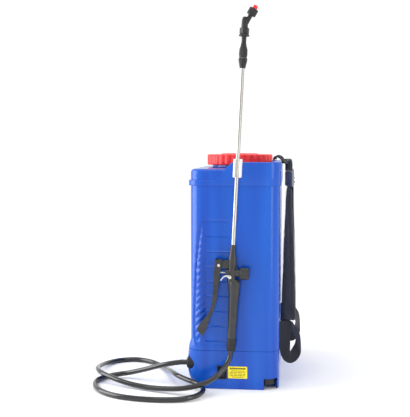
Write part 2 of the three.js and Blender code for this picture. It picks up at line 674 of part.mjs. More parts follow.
// ---------------------------------------------------------------- lance and nozzle
// In the lance's own frame +Z runs up its axis, and y = 0 is in its middle.
function clipSolid() {
  const { long, plateHalf, plateThick, stemHalf, jaw, openHalf } = CLIP;
  const [low, high] = [CLIP_MIDDLE - long / 2, CLIP_MIDDLE + long / 2];
  const wallY = -LANCE_BASE.y - HALF_WIDTH - BAND_PROUD - GAP;
  const bore = TUBE_R + SLIP;
  const jawR = TUBE_R + jaw;
  const plate = block(-plateHalf, plateHalf, wallY - plateThick, wallY, low, high);
  const stem = block(-stemHalf, stemHalf, bore + 1, wallY - 1, low, high)
    .subtract(cylinder(bore, low - 1, high + 1, ROUND - 4));
  const ring = turnedRing([[bore, low], [jawR, low], [jawR, high], [bore, high]], ROUND - 4);
  const opening = block(-openHalf, openHalf, -2 * jawR, 0, low - 1, high + 1);
  return plate.add(stem).add(ring.subtract(opening));
}

function tubeNutSolid(bore) {
  const { low, high, coneTop, tipR, r } = TUBE_NUT;
  return turnedRing([[bore, low], [tipR, low], [r, coneTop], [r, high], [bore, high]], SMALL_ROUND + 4);
}

function headNutSolid(bore) {
  const { low, high, waist, shoulder, r, endR, boreTop } = HEAD_NUT;
  return turnedRing([
    [bore, low], [r - 0.8, low], [r, waist], [r - 0.4, shoulder], [endR, high], [TUBE_BORE_R, high],
    [TUBE_BORE_R, boreTop], [bore, boreTop],
  ], SMALL_ROUND + 4);
}

function adapterSolid() {
  const { low, high, stemR, flangeZ, flangeR, boreR, pinR } = ADAPTER;
  return turnedRing([
    [boreR, low], [stemR, low], [stemR, flangeZ - 2], [stemR + 2, flangeZ], [flangeR, flangeZ + 0.4],
    [flangeR, flangeZ + 2.4], [flangeR - 1.6, HEX.low], [pinR, HEX.low], [pinR, high], [boreR, high],
  ], SMALL_ROUND + 4);
}

function hexNutSolid() {
  const { low, high, flat } = HEX;
  const reach = flat / Math.cos(Math.PI / 6);
  const outline = Array.from({ length: 6 }, (_, i) => {
    const angle = (Math.PI / 3) * (i + 0.25);
    return [reach * Math.cos(angle), reach * Math.sin(angle)];
  });
  const bore = cylinder(ADAPTER.pinR + GAP, low - 1, high + 1, SMALL_ROUND + 4);
  return prism(polygon(outline), low + GAP, high).subtract(bore);
}

function lanceParts(group) {
  const bore = TUBE_R + SLIP;
  part(group, 'lance_tube', turnedRing([
    [TUBE_BORE_R, TUBE_START], [TUBE_R, TUBE_START], [TUBE_R, TUBE_END], [TUBE_BORE_R, TUBE_END],
  ], SMALL_ROUND + 4), STEEL());
  part(group, 'lance_clip', clipSolid(), WHITE());
  part(group, 'tube_nut', tubeNutSolid(bore), BLACK());
  part(group, 'head_nut', headNutSolid(bore), BLACK());
  part(group, 'head_adapter', adapterSolid(), BLACK());
  part(group, 'head_hex_nut', hexNutSolid(), BLACK());
}

// Solid turned about the nozzle's own axis, which leans out of the lance's.
function onNozzleAxis(solid) {
  const tilt = THREE.MathUtils.radToDeg(NOZZLE_TILT);
  return solid.rotate([0, tilt, 0]).translate([NOZZLE_START.t, 0, NOZZLE_START.s]);
}

function elbowSolid() {
  const { low, shoulder, high, r, branchR, branchLong } = ELBOW;
  const column = turned([
    [0, low + GAP], [r, low + GAP], [r - 0.4, shoulder], [r - 2, high - 2], [0, high],
  ], SMALL_ROUND + 4);
  return column.add(onNozzleAxis(cylinder(branchR, 3, branchLong, SMALL_ROUND)));
}

function nozzleCapSolid() {
  const { low, high, r, edge, seat, mouthR, clearR } = CAP_NUT;
  const bore = ELBOW.branchR + GAP;
  return onNozzleAxis(turnedRing([
    [bore, low], [r - edge / 2, low], [r, low + edge], [r, high - edge], [r - edge, high],
    [mouthR, high], [mouthR, high - 3], [clearR, high - 3], [clearR, seat], [bore, seat],
  ], SMALL_ROUND));
}

function nozzleTipSolid() {
  const { low, flangeTop, flangeR, r, high, boreR } = TIP;
  return onNozzleAxis(turnedRing([
    [boreR, low], [flangeR, low], [flangeR, flangeTop], [r, flangeTop], [r, high - 1],
    [r - 1, high], [boreR, high],
  ], SMALL_ROUND));
}

function nozzleParts(group) {
  part(group, 'elbow', elbowSolid(), BLACK());
  part(group, 'nozzle_cap', nozzleCapSolid(), BLACK());
  part(group, 'nozzle_tip', nozzleTipSolid(), RED());
}

// ---------------------------------------------------------------- trigger handle
function handleSolid() {
  const column = turned([
    [0, COLUMN.low], [VALVE.bodyR, COLUMN.low], [VALVE.bodyR, COLUMN.shoulder],
    [COLUMN.waistR, COLUMN.waist], [COLUMN.topR, COLUMN.high], [0, COLUMN.high],
  ], SMALL_ROUND + 4);
  const gripTop = GRIP.outline[GRIP.outline.length - 1][1];
  const grip = turned([
    [0, GRIP.low], [GRIP.spigotR, GRIP.low], [GRIP.spigotR, GRIP.spigotTop], ...GRIP.outline, [0, gripTop],
  ], SMALL_ROUND + 8).translate([GRIP.axis, 0, 0]);
  const boss = alongX(cylinder(VALVE.bossR, VALVE.front, VALVE.back, SMALL_ROUND + 4))
    .translate([0, 0, VALVE.s]);
  const { t, s, pinR, pinHalf, bracketHalf } = PIVOT;
  const bracket = sidePrism(polygon([
    [t - 4, s - 4], [t - 4, s + 4], [t + 3, s + 8], [LOCK.t, s + 13], [LOCK.t, s - 5], [t + 3, s - 8],
  ]), -bracketHalf, bracketHalf);
  const stub = alongY(cylinder(LOCK.pinR, -LOCK.to - 0.6, -COLUMN.topR, SMALL_ROUND))
    .translate([LOCK.t, 0, LOCK.s]);
  const pinHole = alongY(cylinder(pinR + 0.1, -pinHalf, pinHalf, SMALL_ROUND)).translate([t, 0, s]);
  const stemBore = alongX(cylinder(VALVE.boreR, VALVE.front - 1, VALVE.back + 1, SMALL_ROUND))
    .translate([0, 0, VALVE.s]);
  const tubeBore = cylinder(TUBE_R + SLIP, TUBE_START - GAP, COLUMN.high + 1, SMALL_ROUND + 4);
  const gripBore = cylinder(GRIP.boreR, GRIP.low - 1, GRIP.boreTop, SMALL_ROUND)
    .translate([GRIP.axis, 0, 0]);
  return column.add(grip).add(boss).add(bracket).add(stub)
    .subtract(pinHole).subtract(stemBore).subtract(tubeBore).subtract(gripBore);
}

// Side outline of the trigger: straight at the pivot, then curved down to the pull.
function leverSolid() {
  const { half, sheet, top, back, front } = LEVER;
  const outer = new THREE.Shape();
  outer.moveTo(back, top);
  outer.lineTo(front, top);
  outer.lineTo(front - 5.2, top - 52);
  outer.lineTo(front - 7, top - 83);
  outer.quadraticCurveTo(front - 9.5, top - 107, front - 18.5, top - 126);
  outer.lineTo(front - 30.5, top - 149);
  outer.quadraticCurveTo(front - 32, top - 157, front - 22.5, top - 165);
  outer.quadraticCurveTo(front - 16.5, top - 170, front - 13.5, top - 166);
  outer.quadraticCurveTo(front - 4.5, top - 147, front + 1.5, top - 125);
  outer.quadraticCurveTo(front + 8.5, top - 103, front + 9.5, top - 82);
  outer.lineTo(front + 11.1, top - 51);
  const plate = sidePrism(outer, -half, half, 0, 4);
  const channel = polygon([
    [-15, top + 4], [front + sheet, top + 4], [front - 5.2 + sheet, top - 52],
    [front - 7 + sheet, top - 83], [front - 12.5 + sheet, top - 109], [front - 17.5, top - 127],
    [front + 7.5, top - 139], [front + 17.5, top - 82],
  ]);
  const hollow = sidePrism(channel, sheet - half, half - sheet);
  const hole = alongY(cylinder(PIVOT.pinR + GAP, -PIVOT.pinHalf - 2, PIVOT.pinHalf + 2, SMALL_ROUND))
    .translate([PIVOT.t, 0, PIVOT.s]);
  return plate.subtract(hollow).subtract(hole);
}

// Hook that holds the trigger down: an eye on the stub, and a curved finger.
function lockSolid() {
  const { t, s, pinR, from, to, eyeR } = LOCK;
  const shape = new THREE.Shape();
  shape.absarc(0, 0, eyeR, -0.5 * Math.PI, 0.5 * Math.PI, false);
  shape.quadraticCurveTo(-10, 6, -16, 1);
  shape.lineTo(-20, -8);
  shape.lineTo(-17, -9);
  shape.lineTo(-13, -1);
  shape.quadraticCurveTo(-8, 1, 0, -eyeR);
  const plate = sidePrism(shape, -to, -from, 0, 5);
  const hole = alongY(cylinder(pinR + GAP, -to - 2, 2 - from, SMALL_ROUND));
  return plate.subtract(hole).translate([t, 0, s]);
}

function springGeometry() {
  const { turns, from, to, r, wireR, steps } = SPRING;
  const count = turns * steps;
  const points = [];
  for (let i = 0; i <= count; i += 1) {
    const angle = (2 * Math.PI * i) / steps;
    points.push([from + ((to - from) * i) / count, r * Math.cos(angle), VALVE.s + r * Math.sin(angle)]);
  }
  return tubeAlong(points, wireR, count, 5);
}

function valveCapSolid() {
  const { low, high, r, edge, boreR, end } = VALVE_CAP;
  return alongX(turnedRing([
    [boreR, low], [r - edge, low], [r, low + edge], [r, high - edge], [r - edge, high],
    [0.01, high], [0.01, high - end], [boreR, high - end],
  ], ROUND)).translate([0, 0, VALVE.s]);
}

function hoseNutSolid() {
  const { r, edge, high, floor, boreR, holeR } = HOSE_NUT;
  return turnedRing([
    [holeR, 0], [r - edge, 0], [r, edge], [r, high], [boreR, high], [boreR, floor], [holeR, floor],
  ], SMALL_ROUND + 8).translate([GRIP.axis, 0, 0]);
}

function handleParts(group) {
  part(group, 'handle_body', handleSolid(), CHARCOAL());
  part(group, 'trigger_lever', leverSolid(), CHARCOAL());
  const pin = alongY(cylinder(PIVOT.pinR, -PIVOT.pinHalf, PIVOT.pinHalf, SMALL_ROUND));
  part(group, 'trigger_pin', pin.translate([PIVOT.t, 0, PIVOT.s]), STEEL());
  const stem = alongX(cylinder(VALVE.stemR, STEM.front, STEM.back, SMALL_ROUND));
  part(group, 'valve_stem', stem.translate([0, 0, VALVE.s]), STEEL());
  part(group, 'lever_lock', lockSolid(), STEEL());
  part(group, 'valve_cap', valveCapSolid(), CHARCOAL());
  part(group, 'valve_spring', springGeometry(), STEEL());
  part(group, 'handle_filter', turnedRing([
    [FILTER.innerR, FILTER.low], [FILTER.r, FILTER.low], [FILTER.r, FILTER.high],
    [FILTER.innerR, FILTER.high],
  ], SMALL_ROUND).translate([GRIP.axis, 0, 0]), BRASS());
  part(group, 'hose_nut', hoseNutSolid(), BLACK());
}

// ---------------------------------------------------------------- hose
// The hose's route: out of the base, two loose loops on the floor, up to the handle.
const HOSE_ROUTE = [
  [-107.4, -172, 54], [-122, -172, 53.5], [-160, -165, 45], [-205, -146, 28.5],
  [-246, -129, 14.5], [-268, -125.8, 10], [-289, -132.8, 7.5], [-307, -151, 6],
  [-314, -180, 6], [-304, -222, 6], [-277, -260, 6], [-236, -287, 6],
  [-176, -301, 6], [-113, -298, 6.5], [-80, -282, 8], [-65, -258, 10],
  [-64.5, -232, 12.5], [-78, -209, 15.5], [-102, -193, 19], [-129, -169, 22.5],
  [-148, -128, 20], [-164, -82, 13], [-186, -34, 7], [-218, 6, 6],
  [-260, 25, 6], [-301, 11, 6], [-323, -25, 8], [-329, -68, 13],
  [-326, -112, 18], [-308, -152, 19.5], [-276, -182, 16.5], [-235, -203, 10.5],
  [-190, -220, 8], [-146, -236, 10.5], [-100, -249, 17], [-60, -246.5, 28],
  [-35, -234.5, 41], [-18, -219, 57.5], [-8, -209.2, 76], [-6.2, -208, 90.9],
];

function hoseGeometry() {
  return tubeAlong(HOSE_ROUTE, HOSE_R, HOSE_STEPS, HOSE_SIDES);
}

// ---------------------------------------------------------------- straps
// Prism of a side outline, as wide as the webbing less a little on each side.
function webbingPrism(points, narrower = 0) {
  return sidePrism(polygon(points), narrower - WEBBING / 2, WEBBING / 2 - narrower);
}

// Arch of webbing over the collar's edge.
function archSolid() {
  const z = COLLAR_Z + GAP;
  return webbingPrism([
    [-20.5, z], [-19, z + 11.5], [-12, z + 15.4], [-3, z + 13.6], [3.5, z + 8], [7, z],
    [3.6, z], [0.6, z + 5.8], [-4.4, z + 10.2], [-11.4, z + 11.8], [-16, z + 9.2], [-17.1, z],
  ]);
}

// Webbing from the arch over the collar's edge, down to the buckle.
function hangerSolid() {
  const z = COLLAR_Z;
  const low = z - BUCKLE.hang;
  return webbingPrism([
    [7.4, z - 2], [9, z + 4], [13.5, z + 6], [18, z + 3], [21, z - 7], [20.5, low],
    [17, low], [17.6, z - 8], [15.4, z], [13, z + 2.4], [11, z + 1], [9.8, z - 4],
  ]);
}

function buckleSolid() {
  const { half, wide, drop, hang, slot, corner } = BUCKLE;
  const [low, high] = [COLLAR_Z - drop, COLLAR_Z - hang - GAP];
  let frame = prism(roundedRect(-half, -wide, half, wide, corner), low, high, 0, 2);
  const reach = WEBBING / 2 + 1;
  for (const z of [low + slot - 1, high - 2 * slot + 1]) {
    frame = frame.subtract(block(-half - 1, half + 1, -reach, reach, z, z + slot));
  }
  return frame;
}

function padSolid() {
  const { thick, edge, low, shoulder, neck, heel } = PAD;
  const top = COLLAR_Z - BUCKLE.drop - GAP;
  const wide = PAD.wide / 2;
  const narrow = WEBBING / 2;
  const outline = polygon([
    [-narrow, top], [-narrow, top - neck], [-wide, top - shoulder], [-wide, low + heel], [-narrow, low],
    [narrow, low], [wide, low + heel], [wide, top - shoulder], [narrow, top - neck], [narrow, top],
  ]);
  return sidePrism(outline, -thick / 2, thick / 2, edge).rotate([0, 0, 90]);
}

// Adjusting webbing under the pad, doubled back on itself as a loop.
function lowerLoopSolid() {
  const top = PAD.low;
  const outline = [
    [-17, top - GAP], [-18, top - 84], [-8, top - 94], [4, top - 100], [12, top - 96],
    [22, top - 84], [29, top - 60], [29, top - 34], [20, top - 23], [14, top - GAP],
  ];
  const hole = [
    [6, top - 68], [5, top - 42], [11, top - 30], [19, top - 40], [18.5, top - 56], [10, top - 70],
  ];
  return webbingPrism(outline, LOOP.narrower).subtract(webbingPrism(hole, -1));
}

function strapParts(group, side, word) {
  const strap = new THREE.Group();
  strap.position.set(COLLAR_X, side * STRAP_Y, 0);
  group.add(strap);
  part(strap, `strap_arch_${word}`, archSolid(), FABRIC());
  part(strap, `strap_hanger_${word}`, hangerSolid(), FABRIC());
  const buckle = part(strap, `slide_buckle_${word}`, buckleSolid(), GREY());
  buckle.position.set(BUCKLE.x, 0, 0);
  buckle.rotation.z = -side * THREE.MathUtils.degToRad(BUCKLE.turn);
  const pad = part(strap, `shoulder_pad_${word}`, padSolid(), FABRIC());
  pad.position.set(PAD.x, 0, 0);
  pad.rotation.z = -side * THREE.MathUtils.degToRad(PAD.turn);
  const loop = part(strap, `strap_loop_${word}`, lowerLoopSolid(), FABRIC());
  loop.position.set(LOOP.x, 0, 0);
  part(group, `base_lug_${word}`, baseLugSolid(side), BLACK());
}

// ---------------------------------------------------------------- assembly
const sprayer = new THREE.Group();

part(sprayer, 'tank', tankSolid(), BLUE());
part(sprayer, 'tank_outlet', tankOutletSolid(), BLACK());
part(sprayer, 'lid', lidSolid(), RED());
part(sprayer, 'lid_gasket', gasketSolid(), RUBBER());
part(sprayer, 'filter_basket', basketSolid(), WHITE());
part(sprayer, 'base_housing', housingSolid(), BLUE());
part(sprayer, 'bottom_plate', plateSolid(), BLUE());
SCREW_PLACES.forEach(([x, y], i) => {
  const screw = part(sprayer, `plate_screw_${i + 1}`, screwSolid(), STEEL());
  screw.position.set(x, y, 0);
});
part(sprayer, 'battery', batterySolid(), BLACK());
part(sprayer, 'pump_head', pumpHeadSolid(), BLACK());
part(sprayer, 'pump_motor', pumpMotorSolid(), STEEL());
innerHoses(sprayer);
part(sprayer, 'hose_outlet', hoseOutletSolid(), BLACK());
part(sprayer, 'outlet_nut', outletNutSolid(), BLACK());
part(sprayer, 'switch_bezel', switchBezelSolid(), BLACK());
part(sprayer, 'switch_rocker', rockerSolid(), BLACK());
part(sprayer, 'charge_socket', socketSolid(), BLACK());
part(sprayer, 'socket_cap', socketCapSolid(), RUBBER());
part(sprayer, 'warning_label', labelSolid(), YELLOW());
part(sprayer, 'hose', hoseGeometry(), RUBBER());

const lance = new THREE.Group();
lance.position.copy(LANCE_BASE);
lance.rotation.y = LANCE_TILT;
sprayer.add(lance);
lanceParts(lance);
nozzleParts(lance);
handleParts(lance);

strapParts(sprayer, -1, 'right');
strapParts(sprayer, 1, 'left');

export default sprayer;
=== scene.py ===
"""Backpack sprayer: the finished look of every piece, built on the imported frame.

Sizes are in millimetres and are turned to metres where a mesh is made.
"""

import json
import logging
import math
from dataclasses import dataclass
from enum import Enum
from typing import Callable, Optional, Sequence

import bmesh
import bpy
from mathutils import Matrix, Vector

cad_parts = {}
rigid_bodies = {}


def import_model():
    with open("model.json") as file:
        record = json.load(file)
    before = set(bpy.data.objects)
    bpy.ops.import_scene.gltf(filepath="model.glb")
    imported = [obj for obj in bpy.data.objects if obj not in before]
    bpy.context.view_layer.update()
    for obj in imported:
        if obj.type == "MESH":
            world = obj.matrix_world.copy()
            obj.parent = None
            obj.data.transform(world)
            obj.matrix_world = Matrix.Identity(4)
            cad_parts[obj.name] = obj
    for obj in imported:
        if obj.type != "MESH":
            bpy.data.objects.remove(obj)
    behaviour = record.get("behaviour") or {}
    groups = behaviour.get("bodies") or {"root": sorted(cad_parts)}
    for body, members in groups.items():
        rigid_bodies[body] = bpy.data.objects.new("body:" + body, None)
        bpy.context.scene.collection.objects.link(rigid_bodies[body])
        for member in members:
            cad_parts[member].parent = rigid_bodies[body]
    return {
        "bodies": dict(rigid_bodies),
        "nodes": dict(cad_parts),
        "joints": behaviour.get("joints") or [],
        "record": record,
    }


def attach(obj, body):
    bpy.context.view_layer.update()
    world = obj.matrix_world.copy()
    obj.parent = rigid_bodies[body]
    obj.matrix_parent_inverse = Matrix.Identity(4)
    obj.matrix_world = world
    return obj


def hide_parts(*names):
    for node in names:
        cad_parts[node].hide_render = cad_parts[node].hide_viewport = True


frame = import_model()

LOG = logging.getLogger("sprayer")
MM = 0.001
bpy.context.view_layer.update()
# Most of a noise pattern lies between these two factors.
NOISE_LOW, NOISE_HIGH = 0.3, 0.7

Point2 = tuple[float, float]
Point3 = tuple[float, float, float]


# ------------------------------------------------------------------ finishes
class Grain(Enum):
    """What the fine surface of a finish is like."""

    MOULDED = "moulded"
    SATIN = "satin"
    DRAWN = "drawn"
    CAST = "cast"
    WEAVE = "weave"
    SMOOTH = "smooth"


class Nodes:
    """A small hand for wiring one material's nodes."""

    def __init__(self, material: bpy.types.Material) -> None:
        """Empties the tree and puts in a shader and an output.

        Args:
            material: The material whose tree is filled.
        """
        material.use_nodes = True
        self.tree = material.node_tree
        self.tree.nodes.clear()
        self.output = self.tree.nodes.new("ShaderNodeOutputMaterial")
        self.shader = self.tree.nodes.new("ShaderNodeBsdfPrincipled")
        self.join(self.shader.outputs["BSDF"], self.output.inputs["Surface"])

    def join(self, start: bpy.types.NodeSocket, end: bpy.types.NodeSocket) -> None:
        """Links two sockets."""
        self.tree.links.new(start, end)

    def add(self, kind: str, **settings: object) -> bpy.types.Node:
        """Makes a node.

        Args:
            kind: The node's type name, without the common prefix.
            settings: Properties to set on it.

        Returns:
            The node.
        """
        node = self.tree.nodes.new("ShaderNode" + kind)
        for key, value in settings.items():
            setattr(node, key, value)
        return node

    def maths(self, operation: str, first: object, second: object = 0.0) -> bpy.types.NodeSocket:
        """One arithmetic step.

        Args:
            operation: The Math node's operation.
            first: A socket or a number.
            second: A socket or a number.

        Returns:
            The result's socket.
        """
        node = self.add("Math", operation=operation)
        for slot, value in enumerate((first, second)):
            if isinstance(value, bpy.types.NodeSocket):
                self.join(value, node.inputs[slot])
            else:
                node.inputs[slot].default_value = float(value)
        return node.outputs[0]

    def noise(
        self, vector: bpy.types.NodeSocket, scale: float, detail: float = 3.0,
    ) -> bpy.types.NodeSocket:
        """Cloudy variation.

        Args:
            vector: Where the pattern is read.
            scale: Cells per metre.
            detail: Octaves.

        Returns:
            The factor's socket.
        """
        node = self.add("TexNoise")
        node.inputs["Scale"].default_value = scale
        node.inputs["Detail"].default_value = detail
        self.join(vector, node.inputs["Vector"])
        return node.outputs["Fac"]

    def stretched(self, scale: Point3) -> bpy.types.NodeSocket:
        """Object coordinates, stretched.

        Args:
            scale: Factor on each axis.

        Returns:
            The vector's socket.
        """
        place = self.add("TexCoord")
        mapping = self.add("Mapping")
        mapping.inputs["Scale"].default_value = scale
        self.join(place.outputs["Object"], mapping.inputs["Vector"])
        return mapping.outputs["Vector"]

    def span(self, value: bpy.types.NodeSocket, low: float, high: float) -> bpy.types.NodeSocket:
        """Maps the used part of a noise factor to low..high.

        Args:
            value: The factor.
            low: Result at the part's lower end.
            high: Result at its upper end.

        Returns:
            The result's socket.
        """
        node = self.add("MapRange")
        node.inputs["From Min"].default_value = NOISE_LOW
        node.inputs["From Max"].default_value = NOISE_HIGH
        node.inputs["To Min"].default_value = low
        node.inputs["To Max"].default_value = high
        self.join(value, node.inputs["Value"])
        return node.outputs["Result"]

    def blend(self, value: bpy.types.NodeSocket, low: Point3, high: Point3) -> bpy.types.NodeSocket:
        """A colour between two, by a factor.

        Args:
            value: The factor.
            low: Colour at the noise's usual low.
            high: Colour at its usual high.

        Returns:
            The colour's socket.
        """
        ramp = self.add("ValToRGB")
        stops = zip(ramp.color_ramp.elements, (NOISE_LOW, NOISE_HIGH), (low, high))
        for stop, position, colour in stops:
            stop.position = position
            stop.color = (*colour, 1.0)
        self.join(value, ramp.inputs["Fac"])
        return ramp.outputs["Color"]

    def relief(
        self,
        height: bpy.types.NodeSocket,
        depth: float,
        strength: float,
        under: Optional[bpy.types.NodeSocket] = None,
    ) -> bpy.types.NodeSocket:
        """Bumps the surface by a height.

        Args:
            height: The height's socket, from 0 to 1.
            depth: Height of 1, in metres.
            strength: How strongly it shows.
            under: A normal that this one is laid on.

        Returns:
            The normal's socket.
        """
        node = self.add("Bump")
        node.inputs["Strength"].default_value = strength
        node.inputs["Distance"].default_value = depth
        self.join(height, node.inputs["Height"])
        if under is not None:
            self.join(under, node.inputs["Normal"])
        return node.outputs["Normal"]


@dataclass(frozen=True)
class Finish:
    """One finish: its colours, its gloss and its fine grain."""

    name: str
    slot: str
    low: Point3
    high: Point3
    rough: tuple[float, float]
    grain: Grain
    metal: float = 0.0
    coat: float = 0.0
    sheen: float = 0.0
    subsurface: float = 0.0
    mirror: float = 0.35
    bump: float = 0.15
    coat_rough: float = 0.06
    light_depth: float = 0.002
    weft: float = 0.0026
    warp: float = 0.0021
    slant: float = 0.55

    def material(self) -> bpy.types.Material:
        """The material of this finish, made once and then shared.

        Returns:
            The material.
        """
        title = f"finish_{self.name}"
        found = bpy.data.materials.get(title)
        if found:
            return found
        made = bpy.data.materials.new(title)
        nodes = Nodes(made)
        shader = nodes.shader.inputs
        shader["Metallic"].default_value = self.metal
        shader["Coat Weight"].default_value = self.coat
        shader["Coat Roughness"].default_value = self.coat_rough
        shader["Sheen Weight"].default_value = self.sheen
        shader["Specular IOR Level"].default_value = self.mirror
        shader["Subsurface Weight"].default_value = self.subsurface
        shader["Subsurface Scale"].default_value = self.light_depth
        builders = {
            Grain.MOULDED: self._moulded,
            Grain.SATIN: self._satin,
            Grain.DRAWN: self._drawn,
            Grain.CAST: self._cast,
            Grain.WEAVE: self._weave,
            Grain.SMOOTH: self._smooth,
        }
        builders[self.grain](nodes)
        return made

    def _surface(
        self,
        nodes: Nodes,
        tone: bpy.types.NodeSocket,
        gloss: bpy.types.NodeSocket,
        normal: bpy.types.NodeSocket,
    ) -> None:
        """Joins tone, gloss and relief to the shader.

        Args:
            nodes: The tree.
            tone: Factor for the colour.
            gloss: Factor for the roughness.
            normal: The relief.
        """
        nodes.join(nodes.blend(tone, self.low, self.high), nodes.shader.inputs["Base Color"])
        nodes.join(nodes.span(gloss, *self.rough), nodes.shader.inputs["Roughness"])
        nodes.join(normal, nodes.shader.inputs["Normal"])

    def _moulded(self, nodes: Nodes) -> None:
        """Blow-moulded skin: bands down the wall, slow waves, a faint peel and rubbed patches.

        Args:
            nodes: The tree.
        """
        plain = nodes.stretched((1, 1, 1))
        waves = nodes.noise(plain, 11, 1.0)
        peel = nodes.noise(plain, 900, 2.0)
        scuffs = nodes.noise(nodes.stretched((60, 60, 14)), 6, 5.0)
        bands = nodes.noise(nodes.stretched((26, 26, 1.6)), 1, 2.0)
        normal = nodes.relief(waves, 0.006, 0.12)
        normal = nodes.relief(bands, 0.006, 0.14, normal)
        normal = nodes.relief(peel, 0.0002, self.bump, normal)
        self._surface(nodes, bands, scuffs, normal)

    def _satin(self, nodes: Nodes) -> None:
        """Injection-moulded plastic with a fine spark-eroded texture.

        Args:
            nodes: The tree.
        """
        plain = nodes.stretched((1, 1, 1))
        spark = nodes.noise(plain, 1600, 2.0)
        clouds = nodes.noise(plain, 60, 3.0)
        self._surface(nodes, clouds, clouds, nodes.relief(spark, 0.0003, self.bump))

    def _drawn(self, nodes: Nodes) -> None:
        """Drawn or polished metal, with streaks along its length.

        Args:
            nodes: The tree.
        """
        streaks = nodes.noise(nodes.stretched((900, 900, 5)), 1, 4.0)
        clouds = nodes.noise(nodes.stretched((30, 30, 12)), 1, 3.0)
        self._surface(nodes, clouds, streaks, nodes.relief(streaks, 0.0001, self.bump))

    def _cast(self, nodes: Nodes) -> None:
        """Cast or zinc-plated metal, slightly grainy.

        Args:
            nodes: The tree.
        """
        plain = nodes.stretched((1, 1, 1))
        grains = nodes.noise(plain, 700, 3.0)
        clouds = nodes.noise(plain, 90, 3.0)
        self._surface(nodes, clouds, grains, nodes.relief(grains, 0.0002, self.bump))

    def _weave(self, nodes: Nodes) -> None:
        """Woven webbing: ribs along and across, read from the piece's own attributes, with painted shade
        in the weave's valleys.

        Args:
            nodes: The tree.
        """
        along = nodes.add("Attribute", attribute_name="along").outputs["Fac"]
        across = nodes.add("Attribute", attribute_name="across").outputs["Fac"]
        warp = nodes.maths("SINE", nodes.maths("MULTIPLY", across, math.tau / self.warp))
        slant = nodes.maths("ADD", along, nodes.maths("MULTIPLY", across, self.slant))
        weft = nodes.maths("SINE", nodes.maths("MULTIPLY", slant, math.tau / self.weft))
        cloth = nodes.maths("MULTIPLY", warp, weft)
        height = nodes.maths("MULTIPLY_ADD", cloth, 0.5)
        height.node.inputs[2].default_value = 0.5
        fuzz = nodes.noise(nodes.stretched((1, 1, 1)), 1400, 2.0)
        worn = nodes.noise(nodes.stretched((1, 1, 1)), 45, 4.0)
        normal = nodes.relief(height, 0.0007, 0.8)
        normal = nodes.relief(fuzz, 0.0004, self.bump, normal)
        # The colour is painted shade from the weave, darker in its low valleys between the threads. The
        # worn noise adds real wear on top.
        tone = nodes.maths("MULTIPLY_ADD", height, 0.35)
        nodes.join(nodes.maths("MULTIPLY", worn, 0.65), tone.node.inputs[2])
        self._surface(nodes, tone, worn, normal)

    def _smooth(self, nodes: Nodes) -> None:
        """Extruded skin: smooth, with faint drag lines and specks.

        Args:
            nodes: The tree.
        """
        plain = nodes.stretched((1, 1, 1))
        specks = nodes.noise(plain, 260, 4.0)
        clouds = nodes.noise(plain, 24, 2.0)
        self._surface(nodes, clouds, specks, nodes.relief(specks, 0.0001, self.bump))


BLUE = Finish(
    "tank_blue", "tank_blue", grain=Grain.MOULDED,
    low=(0.001, 0.058, 0.42), high=(0.003, 0.100, 0.53), rough=(0.14, 0.26),
    mirror=0.4, bump=0.10,
)
RED = Finish(
    "lid_red", "lid_red", grain=Grain.SATIN,
    low=(0.80, 0.022, 0.024), high=(0.88, 0.034, 0.036), rough=(0.26, 0.36),
    subsurface=0.05,
)
BLACK = Finish(
    "black_plastic", "black_plastic", grain=Grain.SATIN,
    low=(0.012, 0.012, 0.013), high=(0.020, 0.020, 0.022), rough=(0.3, 0.45),
)
CHARCOAL = Finish(
    "handle_charcoal", "handle_charcoal", grain=Grain.SATIN,
    low=(0.016, 0.016, 0.018), high=(0.030, 0.030, 0.032), rough=(0.28, 0.42),
    mirror=0.5, bump=0.3,
)
WHITE = Finish(
    "clip_white", "clip_white", grain=Grain.SATIN,
    low=(0.80, 0.80, 0.78), high=(0.86, 0.86, 0.85), rough=(0.25, 0.36),
    subsurface=0.1,
)
STRAINER = Finish(
    "strainer_white", "strainer_white", grain=Grain.SATIN,
    low=(0.74, 0.74, 0.71), high=(0.82, 0.82, 0.80), rough=(0.35, 0.48),
    subsurface=0.1,
)
GREY = Finish(
    "buckle_grey", "buckle_grey", grain=Grain.SATIN,
    low=(0.20, 0.20, 0.20), high=(0.28, 0.28, 0.28), rough=(0.35, 0.5),
)
STEEL = Finish(
    "polished_tube", "steel", grain=Grain.DRAWN,
    low=(0.40, 0.38, 0.36), high=(0.54, 0.52, 0.49), rough=(0.14, 0.3),
    metal=1.0,
)
ZINC = Finish(
    "zinc_plate", "steel", grain=Grain.CAST,
    low=(0.50, 0.50, 0.49), high=(0.66, 0.66, 0.64), rough=(0.25, 0.42),
    metal=1.0,
)
BRASS = Finish(
    "brass_mesh", "brass_mesh", grain=Grain.DRAWN,
    low=(0.45, 0.30, 0.10), high=(0.62, 0.44, 0.18), rough=(0.28, 0.4),
    metal=1.0,
)
HOSE = Finish(
    "hose_black", "hose_black", grain=Grain.SMOOTH,
    low=(0.005, 0.005, 0.006), high=(0.009, 0.009, 0.010), rough=(0.08, 0.16),
    mirror=0.5, coat=0.4, bump=0.1,
)
RUBBER = Finish(
    "rubber_black", "rubber_black", grain=Grain.SATIN,
    low=(0.012, 0.012, 0.012), high=(0.022, 0.022, 0.022), rough=(0.55, 0.7),
)
# For the webbing and the pad cloth, the low colour in the weave's valleys is painted shade. Elsewhere the
# worn noise varies it, which is real wear.
WEBBING = Finish(
    "webbing_black", "webbing", grain=Grain.WEAVE,
    low=(0.012, 0.013, 0.018), high=(0.030, 0.032, 0.042), rough=(0.75, 0.92),
    sheen=0.25, bump=0.4,
)
PAD_CLOTH = Finish(
    "pad_cloth", "webbing", grain=Grain.WEAVE,
    low=(0.014, 0.015, 0.021), high=(0.034, 0.036, 0.047), rough=(0.7, 0.88),
    sheen=0.35, bump=0.5,
)
YELLOW = Finish(
    "label_yellow", "label_yellow", grain=Grain.SATIN,
    low=(0.84, 0.68, 0.008), high=(0.90, 0.76, 0.015), rough=(0.3, 0.42),
    coat=0.2, bump=0.05,
)
